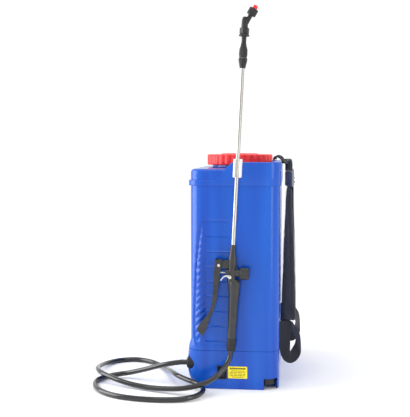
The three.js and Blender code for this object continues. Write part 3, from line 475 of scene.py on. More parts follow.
PRINT = Finish(
    "label_print", "label_yellow", grain=Grain.SATIN,
    low=(0.012, 0.011, 0.006), high=(0.02, 0.018, 0.01), rough=(0.35, 0.45),
    bump=0.05,
)
BATTERY = Finish(
    "battery_case", "battery_case", grain=Grain.SATIN,
    low=(0.02, 0.02, 0.022), high=(0.035, 0.035, 0.038), rough=(0.4, 0.55),
    bump=0.4,
)


# ------------------------------------------------------------------ mesh tools
class Way(Enum):
    """The axis a shape is turned or drawn along."""

    X = (0, 1, 0)
    Y = (1, 0, 0)
    Z = (0, 0, 1)

    def turn(self) -> Matrix:
        """The rotation that lays a shape built up +Z along this axis.

        Returns:
            The rotation.
        """
        if self is Way.X:
            return Matrix.Rotation(math.radians(90), 4, "Y")
        if self is Way.Y:
            return Matrix.Rotation(math.radians(-90), 4, "X")
        return Matrix.Identity(4)


# Lays a shape drawn up +Z on its side: its outline lies in (y, z) and it runs along +X.
ON_X = Matrix(((0, 0, 1, 0), (1, 0, 0, 0), (0, 1, 0, 0), (0, 0, 0, 1)))


def ease(value: float, low: float, high: float) -> float:
    """Smooth step: 0 below low, 1 above high."""
    share = min(1.0, max(0.0, (value - low) / (high - low)))
    return share * share * (3 - 2 * share)


def moved(x: float, y: float, z: float) -> Matrix:
    """A shift by millimetres."""
    return Matrix.Translation((x, y, z))


def at_angle(radius: float, degrees: float) -> Point2:
    """A point on a circle about the origin."""
    return radius * math.cos(math.radians(degrees)), radius * math.sin(math.radians(degrees))


def drawn_in(vert: bmesh.types.BMVert, amount: float) -> None:
    """Moves a point towards the Z axis.

    Args:
        vert: The point.
        amount: How far it moves.
    """
    shrink = 1 - amount / math.hypot(vert.co.x, vert.co.y)
    vert.co.x *= shrink
    vert.co.y *= shrink


def new_verts(grown: Sequence[bmesh.types.BMVert]) -> set[bmesh.types.BMVert]:
    """The points among what an operator has made."""
    return {part for part in grown if isinstance(part, bmesh.types.BMVert)}


def far_edges(grown: Sequence[bmesh.types.BMEdge]) -> list[bmesh.types.BMEdge]:
    """The edges at the far end of what extruding a row of edges has made."""
    fresh = new_verts(grown)
    return [part for part in grown if isinstance(part, bmesh.types.BMEdge) and set(part.verts) <= fresh]


def spun(profile: Sequence[Point2], steps: int = 48, ring: bool = False) -> bmesh.types.BMesh:
    """A turned shape about +Z.

    Args:
        profile: (radius, height) points from one end to the other.
        steps: Sides round.
        ring: Whether the last point joins the first.

    Returns:
        The mesh, in millimetres.
    """
    bm = bmesh.new()
    corners = [bm.verts.new((r, 0, h)) for r, h in profile]
    pairs = list(zip(corners, corners[1:]))
    if ring:
        pairs.append((corners[-1], corners[0]))
    edges = [bm.edges.new(pair) for pair in pairs]
    bmesh.ops.spin(
        bm, geom=corners + edges, cent=(0, 0, 0), axis=(0, 0, 1),
        angle=math.tau, steps=steps, use_merge=True,
    )
    bmesh.ops.remove_doubles(bm, verts=bm.verts, dist=1e-3)
    bmesh.ops.recalc_face_normals(bm, faces=bm.faces)
    return bm


def drawn(
    outline: Sequence[Point2], low: float, high: float, edge: float = 0.0, segments: int = 2,
) -> bmesh.types.BMesh:
    """A flat outline drawn up +Z, with its end edges rounded.

    Args:
        outline: Corner points of the outline.
        low: Lower end.
        high: Upper end.
        edge: Radius on the end edges.
        segments: Steps in that radius.

    Returns:
        The mesh, in millimetres.
    """
    bm = bmesh.new()
    face = bm.faces.new([bm.verts.new((x, y, low)) for x, y in outline])
    grown = bmesh.ops.extrude_face_region(bm, geom=[face], use_keep_orig=True)["geom"]
    bmesh.ops.translate(bm, verts=list(new_verts(grown)), vec=(0, 0, high - low))
    bmesh.ops.recalc_face_normals(bm, faces=bm.faces)
    if edge > 0:
        rims = [e for e in bm.edges if abs(e.verts[0].co.z - e.verts[1].co.z) < 1e-6]
        bmesh.ops.bevel(
            bm, geom=rims, offset=edge, segments=segments, affect="EDGES",
            profile=0.5, material=-1, clamp_overlap=True,
        )
    return bm


def laid(bm: bmesh.types.BMesh) -> bmesh.types.BMesh:
    """Turns a shape drawn up +Z so that its outline lies in (x, z) and it runs along +Y."""
    bmesh.ops.transform(bm, matrix=Matrix.Rotation(math.radians(90), 4, "X"), verts=bm.verts)
    return bm


def set_at(bm: bmesh.types.BMesh, *places: Matrix) -> bmesh.types.BMesh:
    """Applies transforms in turn, the last one last.

    Args:
        bm: The mesh, which is moved.
        places: The transforms.

    Returns:
        The same mesh.
    """
    for place in places:
        bmesh.ops.transform(bm, matrix=place, verts=bm.verts)
    return bm


def joined(*shapes: bmesh.types.BMesh) -> bmesh.types.BMesh:
    """One mesh that holds several closed shapes.

    Args:
        shapes: The meshes, which are used up.

    Returns:
        The mesh that holds them all.
    """
    whole = bmesh.new()
    for shape in shapes:
        carrier = bpy.data.meshes.new("carrier")
        shape.to_mesh(carrier)
        shape.free()
        whole.from_mesh(carrier)
        bpy.data.meshes.remove(carrier)
    return whole


def rounded(
    x0: float, x1: float, y0: float, y1: float, radius: float, segments: int = 6,
) -> list[Point2]:
    """Corner points of a rounded rectangle.

    Args:
        x0: Low x.
        x1: High x.
        y0: Low y.
        y1: High y.
        radius: Corner radius.
        segments: Steps in each corner.

    Returns:
        The points, anticlockwise.
    """
    points = []
    centres = ((x1 - radius, y0 + radius, -90), (x1 - radius, y1 - radius, 0),
               (x0 + radius, y1 - radius, 90), (x0 + radius, y0 + radius, 180))
    for cx, cy, start in centres:
        for step in range(segments + 1):
            angle = math.radians(start + 90 * step / segments)
            points.append((cx + radius * math.cos(angle), cy + radius * math.sin(angle)))
    return points


def smooth_line(points: Sequence[Point2], steps: int = 8) -> list[Point2]:
    """A smooth line through points, ends kept.

    Args:
        points: The points it passes through.
        steps: Steps between two of them.

    Returns:
        The finer points.
    """
    made = []
    padded = [points[0], *points, points[-1]]
    for a, b, c, d in zip(padded, padded[1:], padded[2:], padded[3:]):
        for step in range(steps):
            t = step / steps
            made.append(tuple(
                0.5 * (2 * q + (r - p) * t + (2 * p - 5 * q + 4 * r - s) * t * t
                       + (3 * q - p - 3 * r + s) * t ** 3)
                for p, q, r, s in zip(a, b, c, d)
            ))
    made.append(tuple(points[-1]))
    return made


def divided(points: Sequence[Point2], longest: float) -> list[Point2]:
    """Adds points on the long sides of an outline.

    Args:
        points: The outline.
        longest: Longest side left.

    Returns:
        The outline with the sides divided.
    """
    made = []
    for a, b in zip(points, [*points[1:], points[0]]):
        count = max(1, math.ceil(math.dist(a, b) / longest))
        made += [tuple(p + (q - p) * i / count for p, q in zip(a, b)) for i in range(count)]
    return made


class Assembly:
    """What every sub-assembly shares: making a piece from a mesh and dressing it."""

    def piece(
        self,
        name: str,
        bm: bmesh.types.BMesh,
        finish: Finish,
        stands_for: Sequence[str] = (),
        body: str = "root",
        sharp: float = 32.0,
        place: Optional[Matrix] = None,
        also: Sequence[Finish] = (),
    ) -> bpy.types.Object:
        """Makes one piece of the object from a mesh in millimetres.

        Args:
            name: Its name.
            bm: Its mesh, which is used up.
            finish: Its finish.
            stands_for: CAD nodes that it replaces.
            body: CAD body that it rides on.
            sharp: Edges sharper than this angle stay crisp.
            place: A last transform, in millimetres.
            also: More finishes, for faces with a material index above 0.

        Returns:
            The object.
        """
        if place is not None:
            set_at(bm, place)
        set_at(bm, Matrix.Scale(MM, 4))
        mesh = bpy.data.meshes.new(name)
        bm.to_mesh(mesh)
        bm.free()
        for one in (finish, *also):
            mesh.materials.append(one.material())
        mesh.shade_smooth()
        mesh.set_sharp_from_angle(angle=math.radians(sharp))
        made = bpy.data.objects.new(name, mesh)
        bpy.context.scene.collection.objects.link(made)
        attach(made, body)
        if stands_for:
            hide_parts(*stands_for)
        LOG.info("%s: %d faces, %s", name, len(mesh.polygons), finish.name)
        return made

    def walled(self, skin: bpy.types.Object, thick: float, offset: float) -> None:
        """Gives an open skin its wall, by a modifier.

        Args:
            skin: The piece.
            thick: The wall's thickness.
            offset: -1 puts the wall inside the skin, 0 puts it on both sides.
        """
        wall = skin.modifiers.new("wall", "SOLIDIFY")
        wall.thickness = thick * MM
        wall.offset = offset

    def dress(self, finish: Finish, *nodes: str) -> None:
        """Gives CAD nodes that stay a finish.

        Args:
            finish: The finish.
            nodes: The CAD nodes' names.
        """
        for name in nodes:
            mesh = frame["nodes"][name].data
            mesh.materials.clear()
            mesh.materials.append(finish.material())
            LOG.info("%s: kept, %s", name, finish.name)


# ------------------------------------------------------------------ studio
@dataclass(frozen=True)
class Softbox:
    """One soft lamp, with its places and sizes in metres and its power in watts."""

    name: str
    place: Point3
    aim: Point3
    size: Point2
    power: float


@dataclass
class Studio:
    """Camera, pale floor and soft light."""

    eye: Point3 = (126.2, -2005.0, 533.6)
    pitch: float = 85.86
    yaw: float = 5.993
    lens: float = 72.14
    sensor: float = 36
    floor_half: float = 9
    white: Point3 = (0.97, 0.97, 0.97)
    room: float = 1.04
    softboxes: tuple[Softbox, ...] = (
        Softbox("left_box", (-1.6, -0.3, 0.7), (-0.1, -0.1, 0.35), (1.3, 1.5), 25),
        Softbox("right_box", (1.5, -1.3, 0.8), (0.1, -0.1, 0.3), (0.5, 1.6), 7),
        Softbox("top_box", (0.0, -0.5, 2.3), (0.0, -0.1, 0.3), (1.4, 1.0), 8),
    )

    def camera(self) -> None:
        """Stands the camera where the sprayer is seen from its lance side."""
        data = bpy.data.cameras.new("camera")
        data.lens = self.lens
        data.sensor_width = self.sensor
        eye = bpy.data.objects.new("camera", data)
        eye.location = Vector(self.eye) * MM
        eye.rotation_euler = (math.radians(self.pitch), 0, math.radians(self.yaw))
        bpy.context.scene.collection.objects.link(eye)
        bpy.context.scene.camera = eye

    def sweep(self) -> None:
        """Lays a pale floor under the sprayer."""
        bm = bmesh.new()
        bmesh.ops.create_grid(bm, x_segments=2, y_segments=2, size=self.floor_half)
        mesh = bpy.data.meshes.new("floor")
        bm.to_mesh(mesh)
        bm.free()
        paint = bpy.data.materials.new("floor_paper")
        nodes = Nodes(paint)
        paper = nodes.noise(nodes.stretched((1, 1, 1)), 40)
        nodes.join(nodes.blend(paper, self.white, self.white), nodes.shader.inputs["Base Color"])
        nodes.shader.inputs["Roughness"].default_value = 0.9
        mesh.materials.append(paint)
        floor = bpy.data.objects.new("floor", mesh)
        bpy.context.scene.collection.objects.link(floor)

    def lamp(self, box: Softbox) -> None:
        """Hangs one softbox.

        Args:
            box: Which one.
        """
        data = bpy.data.lights.new(box.name, "AREA")
        data.shape = "RECTANGLE"
        data.size, data.size_y = box.size
        data.energy = box.power
        lamp = bpy.data.objects.new(box.name, data)
        lamp.location = box.place
        aim = Vector(box.aim) - Vector(box.place)
        lamp.rotation_euler = aim.to_track_quat("-Z", "Y").to_euler()
        bpy.context.scene.collection.objects.link(lamp)

    def light(self) -> None:
        """Hangs the softboxes and sets the room's own light."""
        for box in self.softboxes:
            self.lamp(box)
        bpy.context.scene.view_settings.view_transform = "Standard"
        world = bpy.data.worlds.new("room")
        world.use_nodes = True
        background = world.node_tree.nodes["Background"].inputs
        background["Color"].default_value = (1, 1, 1, 1)
        background["Strength"].default_value = self.room
        bpy.context.scene.world = world


# ------------------------------------------------------------------ tank and base
Section = Callable[[float, float], Point3]


def lofted(
    outline: Sequence[Point2], sections: Sequence[Section], ring: bool = False,
) -> bmesh.types.BMesh:
    """Skins a row of rings, each the same outline moved by its section.

    Args:
        outline: Plan points of the base outline.
        sections: One function a ring, from a plan point to its place.
        ring: Whether the last ring joins the first. If not, both ends stay open.

    Returns:
        The mesh, in millimetres.
    """
    bm = bmesh.new()
    layers = [bm.verts.layers.float.new(axis) for axis in ("plan_x", "plan_y")]
    verts = []
    for x, y in outline:
        vert = bm.verts.new(sections[0](x, y))
        vert[layers[0]], vert[layers[1]] = x, y
        verts.append(vert)
    first = [bm.edges.new(pair) for pair in zip(verts, verts[1:] + verts[:1])]
    loop = first
    for section in sections[1:]:
        grown = bmesh.ops.extrude_edge_only(bm, edges=loop)["geom"]
        for vert in new_verts(grown):
            vert.co = section(vert[layers[0]], vert[layers[1]])
        loop = far_edges(grown)
    if ring:
        bmesh.ops.bridge_loops(bm, edges=first + loop)
    bmesh.ops.recalc_face_normals(bm, faces=bm.faces)
    return bm


def closed(bm: bmesh.types.BMesh) -> bmesh.types.BMesh:
    """Fills every open loop and turns the faces outwards.

    Args:
        bm: The mesh.

    Returns:
        The same mesh.
    """
    bmesh.ops.holes_fill(bm, edges=[e for e in bm.edges if e.is_boundary], sides=0)
    bmesh.ops.recalc_face_normals(bm, faces=bm.faces)
    return bm


@dataclass
class Tank(Assembly):
    """The blow-moulded tank with its rim, collar, neck and grip panels."""

    depth: float = 198
    width: float = 380
    corner: float = 30
    seam: float = 86.3
    shelf: float = 451
    band_top: float = 464
    deck: float = 488
    collar: float = 503
    neck_top: float = 511.5
    mouth: float = 58
    neck: float = 65
    thread: float = 2.2
    shoulder: float = 8
    skin: float = 3
    flare: float = 5
    line_level: float = 380
    step_level: float = 371
    ramp_start: float = -46
    ramp_end: float = -4
    panel: tuple[float, float, float] = (97, 376, -5)
    groove: tuple[Point2, ...] = (
        (90, -70), (96, -80), (104, -88), (114, -92.5), (146, -93.7), (182, -92.5), (218, -89.4),
        (262, -87.4), (290, -84.7), (318, -81.2), (352, -76), (370, -71), (380, -60),
    )
    rope_end: float = -64
    rope_pitch: float = 16
    rope_high: float = 2.9
    rib_half: float = 1.7
    rib_levels: tuple[float, ...] = tuple(107 + 33.3 * i for i in range(9))

    def normal(self, x: float, y: float) -> Point2:
        """Outward direction of the plan outline at a point on it.

        Args:
            x: Plan point on the outline.
            y: Plan point on the outline.

        Returns:
            The direction, of length 1.
        """
        flat_x, flat_y = self.depth / 2 - self.corner, self.width / 2 - self.corner
        away = Vector((x - max(-flat_x, min(flat_x, x)), y - max(-flat_y, min(flat_y, y))))
        away.normalize()
        return away.x, away.y

    def unrolled(self, x: float, y: float) -> float:
        """Distance along the wall from the middle of a side, less than 0 towards the front.

        Args:
            x: Plan point on the outline.
            y: Plan point on the outline.

        Returns:
            Millimetres along the wall.
        """
        flat_x, flat_y = self.depth / 2 - self.corner, self.width / 2 - self.corner
        y = abs(y)
        if x >= -flat_x:
            return x
        if y > flat_y:
            return -flat_x - self.corner * math.atan2(-flat_x - x, y - flat_y)
        return -flat_x - self.corner * math.pi / 2 - (flat_y - y)

    def groove_at(self, z: float) -> float:
        """Where the panel's curved front groove runs at a height.

        Args:
            z: Height.

        Returns:
            Distance along the wall.
        """
        for (z0, u0), (z1, u1) in zip(self.groove, self.groove[1:]):
            if z0 <= z <= z1:
                return u0 + (u1 - u0) * (z - z0) / (z1 - z0)
        return self.groove[0][1] if z < self.groove[0][0] else self.groove[-1][1]

    def relief(self, u: float, z: float) -> float:
        """How far the wall stands out, for the panel, its rope and its ribs.

        Args:
            u: Distance along the wall.
            z: Height.

        Returns:
            Millimetres outwards.
        """
        low, high, back = self.panel
        turn = self.depth / 2 - self.corner + self.corner * math.pi / 2
        if u < -turn:
            front = ease(-u, turn + 3, turn + 9) * ease(z, low, low + 6)
            line = math.exp(-(((z - self.line_level) / 2.4) ** 2))
            return front * (line - 1.4 * (1 - ease(z, self.step_level, self.step_level + 6)))
        edge = self.groove_at(z)
        ends = ease(z, low - 3, low + 2) * (1 - ease(z, high - 2, high + 2))
        inside = ends * ease(u, edge - 1.5, edge + 1.5) * (1 - ease(u, back - 5, back))
        out = -1.5 * inside - 2.2 * ends * math.exp(-(((u - edge) / 1.8) ** 2))
        start = edge + 3.5
        wide = self.rope_end - start
        if wide > 2 and start < u < self.rope_end:
            share = (u - start) / wide
            hump = math.sin(math.pi * share) ** 0.7
            twist = 0.5 + 0.5 * math.cos(math.tau * (z - 0.9 * (u - start)) / self.rope_pitch)
            out += ends * hump * min(1.0, wide / 12) * (0.4 + self.rope_high * twist ** 0.7)
        if u > self.rope_end:
            for level in self.rib_levels:
                if abs(z - level) < self.rib_half:
                    out += inside * 1.5 * (1 - abs(z - level) / self.rib_half)
        return out

    def wall(self, z: float) -> Section:
        """The outer wall's ring at a height.

        Args:
            z: Height.

        Returns:
            The ring.
        """
        def place(x: float, y: float) -> Point3:
            """A plan point's place on the wall."""
            nx, ny = self.normal(x, y)
            out = self.relief(self.unrolled(x, y), z) if 88 < z < 400 else 0.0
            flare = self.flare * (1 - ease(z, self.seam, 112)) * max(0.0, -nx)
            return x + nx * out - flare, y + ny * out, z
        return place

    def inset(self, amount: float, z: float) -> Section:
        """The outline moved inwards, at a height.

        Args:
            amount: How far inwards.
            z: Height.

        Returns:
            The ring.
        """
        def place(x: float, y: float) -> Point3:
            """A plan point's place on the smaller outline."""
            nx, ny = self.normal(x, y)
            return x - nx * amount, y - ny * amount, z
        return place

    def circle(self, radius: float, z: float) -> Section:
        """The outline drawn in to a circle, at a height.

        Args:
            radius: The circle's radius.
            z: Height.

        Returns:
            The ring.
        """
        def place(x: float, y: float) -> Point3:
            """A plan point's place on the circle."""
            angle = math.atan2(y, x)
            return radius * math.cos(angle), radius * math.sin(angle), z
        return place

    def outline(self) -> list[Point2]:
        """Plan points of the tank, close together at the corners."""
        half_x, half_y = self.depth / 2, self.width / 2
        return divided(rounded(-half_x, half_x, -half_y, half_y, self.corner, 20), 3.0)

    def heights(self) -> list[float]:
        """Heights of the wall's rings, closer at each rib.

        Returns:
            The heights, from the seam up.
        """
        levels = {self.seam, self.seam + 1}
        levels |= {90 + 2.6 * i for i in range(113)}
        for level in self.rib_levels:
            levels |= {level - self.rib_half, level, level + self.rib_half}
        levels |= {390.0, 410.0, 430.0, 452.0}
        ordered = sorted(levels)
        return [a for a, b in zip(ordered, ordered[1:] + [999]) if b - a > 0.45]

    def shell(self) -> bmesh.types.BMesh:
        """Outer wall, shoulder, deck, neck with its thread, and the hollow inside.

        Returns:
            The mesh, in millimetres.
        """
        rings = [self.wall(z) for z in self.heights()]
        bend, top, under = self.deck - self.shoulder, self.neck_top, self.deck - 5
        rings += [self.inset(0, 466), self.inset(0, bend)]
        for step in range(1, 6):
            angle = math.radians(18 * step)
            inwards, up = 1 - math.cos(angle), math.sin(angle)
            rings.append(self.inset(self.shoulder * inwards, bend + self.shoulder * up))
        rings += [self.inset(9, self.deck), self.circle(self.neck + 6, self.deck)]
        for out, up in ((1.5, 0.4), (0.2, 1.6)):
            rings.append(self.circle(self.neck + out, self.deck + up))
        for foot in (494, 504):
            for out, up in ((0, 0), (self.thread, 1.6), (self.thread, 2.8), (0, 4.4)):
                rings.append(self.circle(self.neck + out, foot + up))
        for out, down in ((0, 0.9), (-0.7, 0.1), (-1.6, 0)):
            rings.append(self.circle(self.neck + out, top - down))
        for out, down in ((1.4, 0), (0.4, 0.3), (0, 1.1)):
            rings.append(self.circle(self.mouth + out, top - down))
        rings += [self.circle(self.mouth, self.deck - 4), self.circle(self.mouth + 2, under)]
        rings += [self.inset(5, under), self.inset(self.skin, 478), self.inset(self.skin, 90)]
        return closed(lofted(self.outline(), rings))

    def ramp(self, x: float) -> float:
        """Height of the rim's top edge, low in front and high round the wearer's side.

        Args:
            x: Plan point.

        Returns:
            Height.
        """
        start, end = self.ramp_start, self.ramp_end
        share = min(1.0, max(0.0, (x - start) / (end - start)))
        share = 0.7 * share + 0.3 * ease(x, start, end)
        return self.band_top + (self.collar - self.band_top) * share

    def rim(self) -> bmesh.types.BMesh:
        """The band under the shoulder, which rises into the collar behind the mouth.

        Returns:
            The mesh, in millimetres.
        """
        def section(out: float, level: Callable[[float], float]) -> Section:
            """A ring that stands out by an amount, at a level that may change with x."""
            def place(x: float, y: float) -> Point3:
                """A plan point's place on that ring."""
                nx, ny = self.normal(x, y)
                lip = 2.5 * max(0.0, -nx) if out > 0 else 0.0
                return x + nx * out - lip, y + ny * out, level(x)
            return place
        base, top = self.shelf, self.ramp
        rings = [
            section(-2.0, lambda x: base + 0.4),
            section(1.0, lambda x: base), section(1.6, lambda x: base + 0.3),
            section(2.0, lambda x: base + 1.2),
            section(2.0, lambda x: top(x) - 2.4), section(1.8, lambda x: top(x) - 1.4),
            section(1.0, lambda x: top(x) - 0.4), section(-0.2, top), section(-11.0, top),
            section(-12.2, lambda x: top(x) - 0.4), section(-13.0, lambda x: top(x) - 1.6),
            section(-13.6, lambda x: min(top(x) - 3, self.deck - 2)), section(-9.0, lambda x: base + 5),
        ]
        return lofted(self.outline(), rings, ring=True)

    def build(self) -> None:
        """Makes the tank and its rim."""
        self.piece("tank_shell", self.shell(), BLUE, ["tank"], sharp=38)
        self.piece("tank_rim", self.rim(), BLUE, ["tank"], sharp=50)


@dataclass
class Base(Assembly):
    """The battery base: its housing, lugs, label, switch and sockets."""

    back: float = 99
    front: float = -106
    half: float = 190
    corner: float = 30
    top: float = 86
    wall: float = 3
    notch: tuple[float, float, float, float] = (66, 95.5, 150, 25)
    window: tuple[float, float, float, float] = (-36.9, -16.3, 23.1, 52.3)
    window_gap: float = 0.3
    outlet: tuple[float, float, float] = (-172, 54, 15)
    socket: tuple[float, float, float] = (60, 50, 10.4)
    film: tuple[float, float, float, float] = (-13, 29.5, 24.8, 51.8)
    film_face: float = 190.25
    nose_pivot: float = -69
    nose: tuple[Point2, ...] = (
        (0, -78), (1.5, -82), (4, -87), (7.5, -91.8), (12, -96.2), (18, -100.2), (25, -103), (32, -104.6),
        (45, -105.7), (58.5, -106), (72, -105.2), (86, -104),
    )

    def nose_at(self, z: float) -> float:
        """Where the front of the base is at a height.

        Args:
            z: Height.

        Returns:
            The front's x.
        """
        for (z0, x0), (z1, x1) in zip(self.nose, self.nose[1:]):
            if z0 <= z <= z1:
                return x0 + (x1 - x0) * (z - z0) / (z1 - z0)
        return self.nose[-1][1]

    def ring(self, z: float, pull: float = 0.0) -> Section:
        """The housing's ring at a height, with its front drawn in to the nose's curve.

        Args:
            z: Height.
            pull: How far the ring is drawn in all round.

        Returns:
            The ring.
        """
        pivot = self.nose_pivot
        share = (self.nose_at(z) - pivot) / (self.front - pivot)

        def place(x: float, y: float) -> Point3:
            """A plan point's place on the ring."""
            shrink = 1 - pull / self.half
            fore = pivot + (x - pivot) * share if x < pivot else x
            return fore * (1 - pull / self.back), y * shrink, z
        return place

    def bored(self, bm: bmesh.types.BMesh, y: float, z: float, radius: float, depth_x: float) -> None:
        """Sinks a round pocket into the front wall.

        Args:
            bm: The housing's skin.
            y: Its centre.
            z: Its centre.
            radius: Its radius.
            depth_x: Where its floor is.
        """
        inside = [
            f for f in bm.faces
            if f.calc_center_median().x < -70
            and math.hypot(f.calc_center_median().y - y, f.calc_center_median().z - z) < radius
        ]
        edges = {e for f in inside for e in f.edges}
        edges = {e for e in edges if any(f not in inside for f in e.link_faces)}
        bmesh.ops.delete(bm, geom=inside, context="FACES")
        rim = [e for e in edges if e.is_valid]
        for vert in {v for e in rim for v in e.verts}:
            away = Vector((vert.co.y - y, vert.co.z - z)).normalized() * radius
            slope = (vert.co.y - y - away.x) * math.copysign(1.0, vert.co.y)
            lean = max(0.0, abs(vert.co.y) - 160) / 30
            vert.co.x -= slope * min(1.2, lean / max(0.3, math.sqrt(max(0.05, 1 - lean * lean))))
            vert.co.y, vert.co.z = y + away.x, z + away.y
        grown = bmesh.ops.extrude_edge_only(bm, edges=rim)["geom"]
        for vert in new_verts(grown):
            vert.co.x = depth_x
        bmesh.ops.contextual_create(bm, geom=far_edges(grown))

    def skin(self) -> bmesh.types.BMesh:
        """The housing's outer skin, with its notches, window and pockets.

        Returns:
            The mesh, in millimetres.
        """
        outline = divided(rounded(self.front, self.back, -self.half, self.half, self.corner, 18), 3.2)
        levels = [0, 1.5, 3, 5, 7.5, 10, 13, 16, 19, 22, 25] + [27.5 + 2.3 * i for i in range(25)]
        rings = [self.ring(0, 1.2), *(self.ring(z) for z in levels[1:])]
        rings += [self.ring(self.top - 0.6), self.ring(self.top, 0.8)]
        bm = lofted(outline, rings)
        x0, x1, inner, high = self.notch
        left, right, low, lid = self.window
        cuts = [((x, 0, 0), (1, 0, 0)) for x in (x0, x1, left, right)]
        cuts += [((0, 0, z), (0, 0, 1)) for z in (low, lid)]
        for point, direction in cuts:
            bmesh.ops.bisect_plane(
                bm, geom=[*bm.verts, *bm.edges, *bm.faces], dist=1e-4, plane_co=point, plane_no=direction,
            )
        hole = []
        for face in bm.faces:
            spot = face.calc_center_median()
            if spot.y < -185 and left < spot.x < right and low < spot.z < lid:
                hole.append(face)
        bmesh.ops.delete(bm, geom=hole, context="FACES")
        for side in (-1, 1):
            region = []
            for face in bm.faces:
                spot = face.calc_center_median()
                if spot.y * side > inner + 2 and x0 < spot.x < x1 and spot.z < high:
                    region.append(face)
            grown = bmesh.ops.extrude_face_region(bm, geom=region)["geom"]
            for vert in new_verts(grown):
                vert.co.y = inner * side
            bmesh.ops.delete(bm, geom=region, context="FACES_ONLY")
        floor = [f for f in bm.faces if all(v.co.z < 1e-3 for v in f.verts)]
        bmesh.ops.delete(bm, geom=floor, context="FACES_ONLY")
        self.bored(bm, *self.outlet, -84)
        self.bored(bm, *self.socket, -92)
        bmesh.ops.recalc_face_normals(bm, faces=bm.faces)
        return bm

    def lug(self, side: int) -> bmesh.types.BMesh:
        """A slotted lug for the strap's lower end.

        Args:
            side: -1 or 1.

        Returns:
            Its mesh.
        """
        outline = divided(smooth_line([
            (67, 150.3), (79, 150.3), (91.5, 150.3), (91.5, 160), (90.5, 171),
            (84, 181), (76, 185.6), (67, 186), (67, 168),
        ], 4), 3)
        middle_x, middle_y = 78.5, 167

        def at(share: float, z: float) -> Section:
            """The lug's outline drawn to a share of its size, at a height."""
            return lambda x, y: (middle_x + (x - middle_x) * share, middle_y + (y - middle_y) * share, z)
        bm = lofted(outline, [
            at(0.97, 11.2), at(1, 11.8), at(1, 24), at(0.97, 24.6),
            at(0.58, 24.6), at(0.55, 24), at(0.55, 11.8), at(0.58, 11.2),
        ], ring=True)
        return set_at(bm, Matrix.Diagonal((1, side, 1, 1)))

    def label(self) -> bmesh.types.BMesh:
        """A warning film with a header bar and plain lines in place of its print.

        Returns:
            The mesh, in millimetres.
        """
        face = self.film_face
        ink = face + 0.35
        film = drawn(rounded(*self.film, 1.8, 5), face, face + 0.4, 0.12, 1)
        marks = []
        header = (-9.6, -6.0, -2.8, 0.6, 4.4, 8.2, 11.6, 15.0, 18.4, 22.0, 25.6)
        for left, right in zip(header, header[1:]):
            marks.append(drawn(rounded(left + 0.5, right - 0.3, 45.4, 49.0, 0.3, 2), ink, ink + 0.12))
        for row, (left, right) in enumerate(((-6, 22), (-9, 25), (-9.5, 25.5), (-8, 24), (-4, 21))):
            low = 41.2 - 3.4 * row
            span = right - left
            for start, end in ((0, 0.22), (0.26, 0.47), (0.51, 0.8), (0.84, 1.0)):
                marks.append(drawn(
                    rounded(left + span * start, left + span * end, low, low + 1.1, 0.2, 2),
                    ink, ink + 0.1,
                ))
        whole = joined(*marks)
        for stroke in whole.faces:
            stroke.material_index = 1
        return laid(joined(film, whole))

    def window_middle(self) -> Point2:
        """The middle of the switch's window, as (x, z)."""
        left, right, low, high = self.window
        return (left + right) / 2, (low + high) / 2

    def bezel(self) -> bmesh.types.BMesh:
        """The switch's frame.

        Returns:
            The mesh, in millimetres.
        """
        left, right, low, high = self.window
        gap = self.window_gap
        outline = divided(rounded(left + gap, right - gap, low + gap, high - gap, 2.2, 5), 3)
        half_x, half_z = (right - left) / 2 - gap, (high - low) / 2 - gap
        middle = self.window_middle()

        def at(shrink: float, y: float) -> Section:
            """The frame's outline, drawn in by an amount, at a depth."""
            def place(x: float, z: float) -> Point3:
                """An outline point's place."""
                return (
                    middle[0] + (x - middle[0]) * (half_x - shrink) / half_x, y,
                    middle[1] + (z - middle[1]) * (half_z - shrink) / half_z,
                )
            return place
        return lofted(outline, [
            at(0.4, -177), at(0.4, -189.4), at(-0.9, -189.9), at(-1.1, -190.6), at(-0.8, -191.3),
            at(0.2, -191.7), at(1.2, -191.5), at(1.7, -190.8), at(1.8, -177),
        ], ring=True)

    def rocker(self) -> bmesh.types.BMesh:
        """The switch's rocker, pressed at its lower half.

        Returns:
            The mesh, in millimetres.
        """
        bm = drawn(
            [
                (-5.6, -11), (-3.9, -5), (-3.5, 0), (-3.9, 5), (-5.6, 11), (-4.8, 11.6),
                (3, 8), (3, -8), (-4.8, -11.6),
            ],
            -7.6, 7.6, 0.5, 2,
        )
        set_at(bm, ON_X)
        middle_x, middle_z = self.window_middle()
        return set_at(bm, Matrix.Rotation(math.radians(8), 4, "X"), moved(middle_x, -182, middle_z))

    def build(self) -> None:
        """Makes the base's pieces."""
        housing = self.piece("base_shell", self.skin(), BLUE, ["base_housing"], sharp=34)
        self.walled(housing, self.wall, -1)
        for side, word in ((-1, "right"), (1, "left")):
            self.piece(f"foot_lug_{word}", self.lug(side), BLACK, [f"base_lug_{word}"])
        self.piece("label_film", self.label(), YELLOW, ["warning_label"], also=[PRINT])
        self.piece("switch_frame", self.bezel(), BLACK, ["switch_bezel"])
        self.piece("switch_key", self.rocker(), BLACK, ["switch_rocker"], body="rocker")
        self.dress(BLUE, "bottom_plate")
        self.dress(ZINC, *(f"plate_screw_{number}" for number in range(1, 5)))
        self.dress(BATTERY, "battery")
        self.dress(BLACK, "pump_head", "tank_outlet", "hose_outlet", "charge_socket")
        self.dress(ZINC, "pump_motor")
        self.dress(RUBBER, "suction_hose", "pressure_hose", "socket_cap")


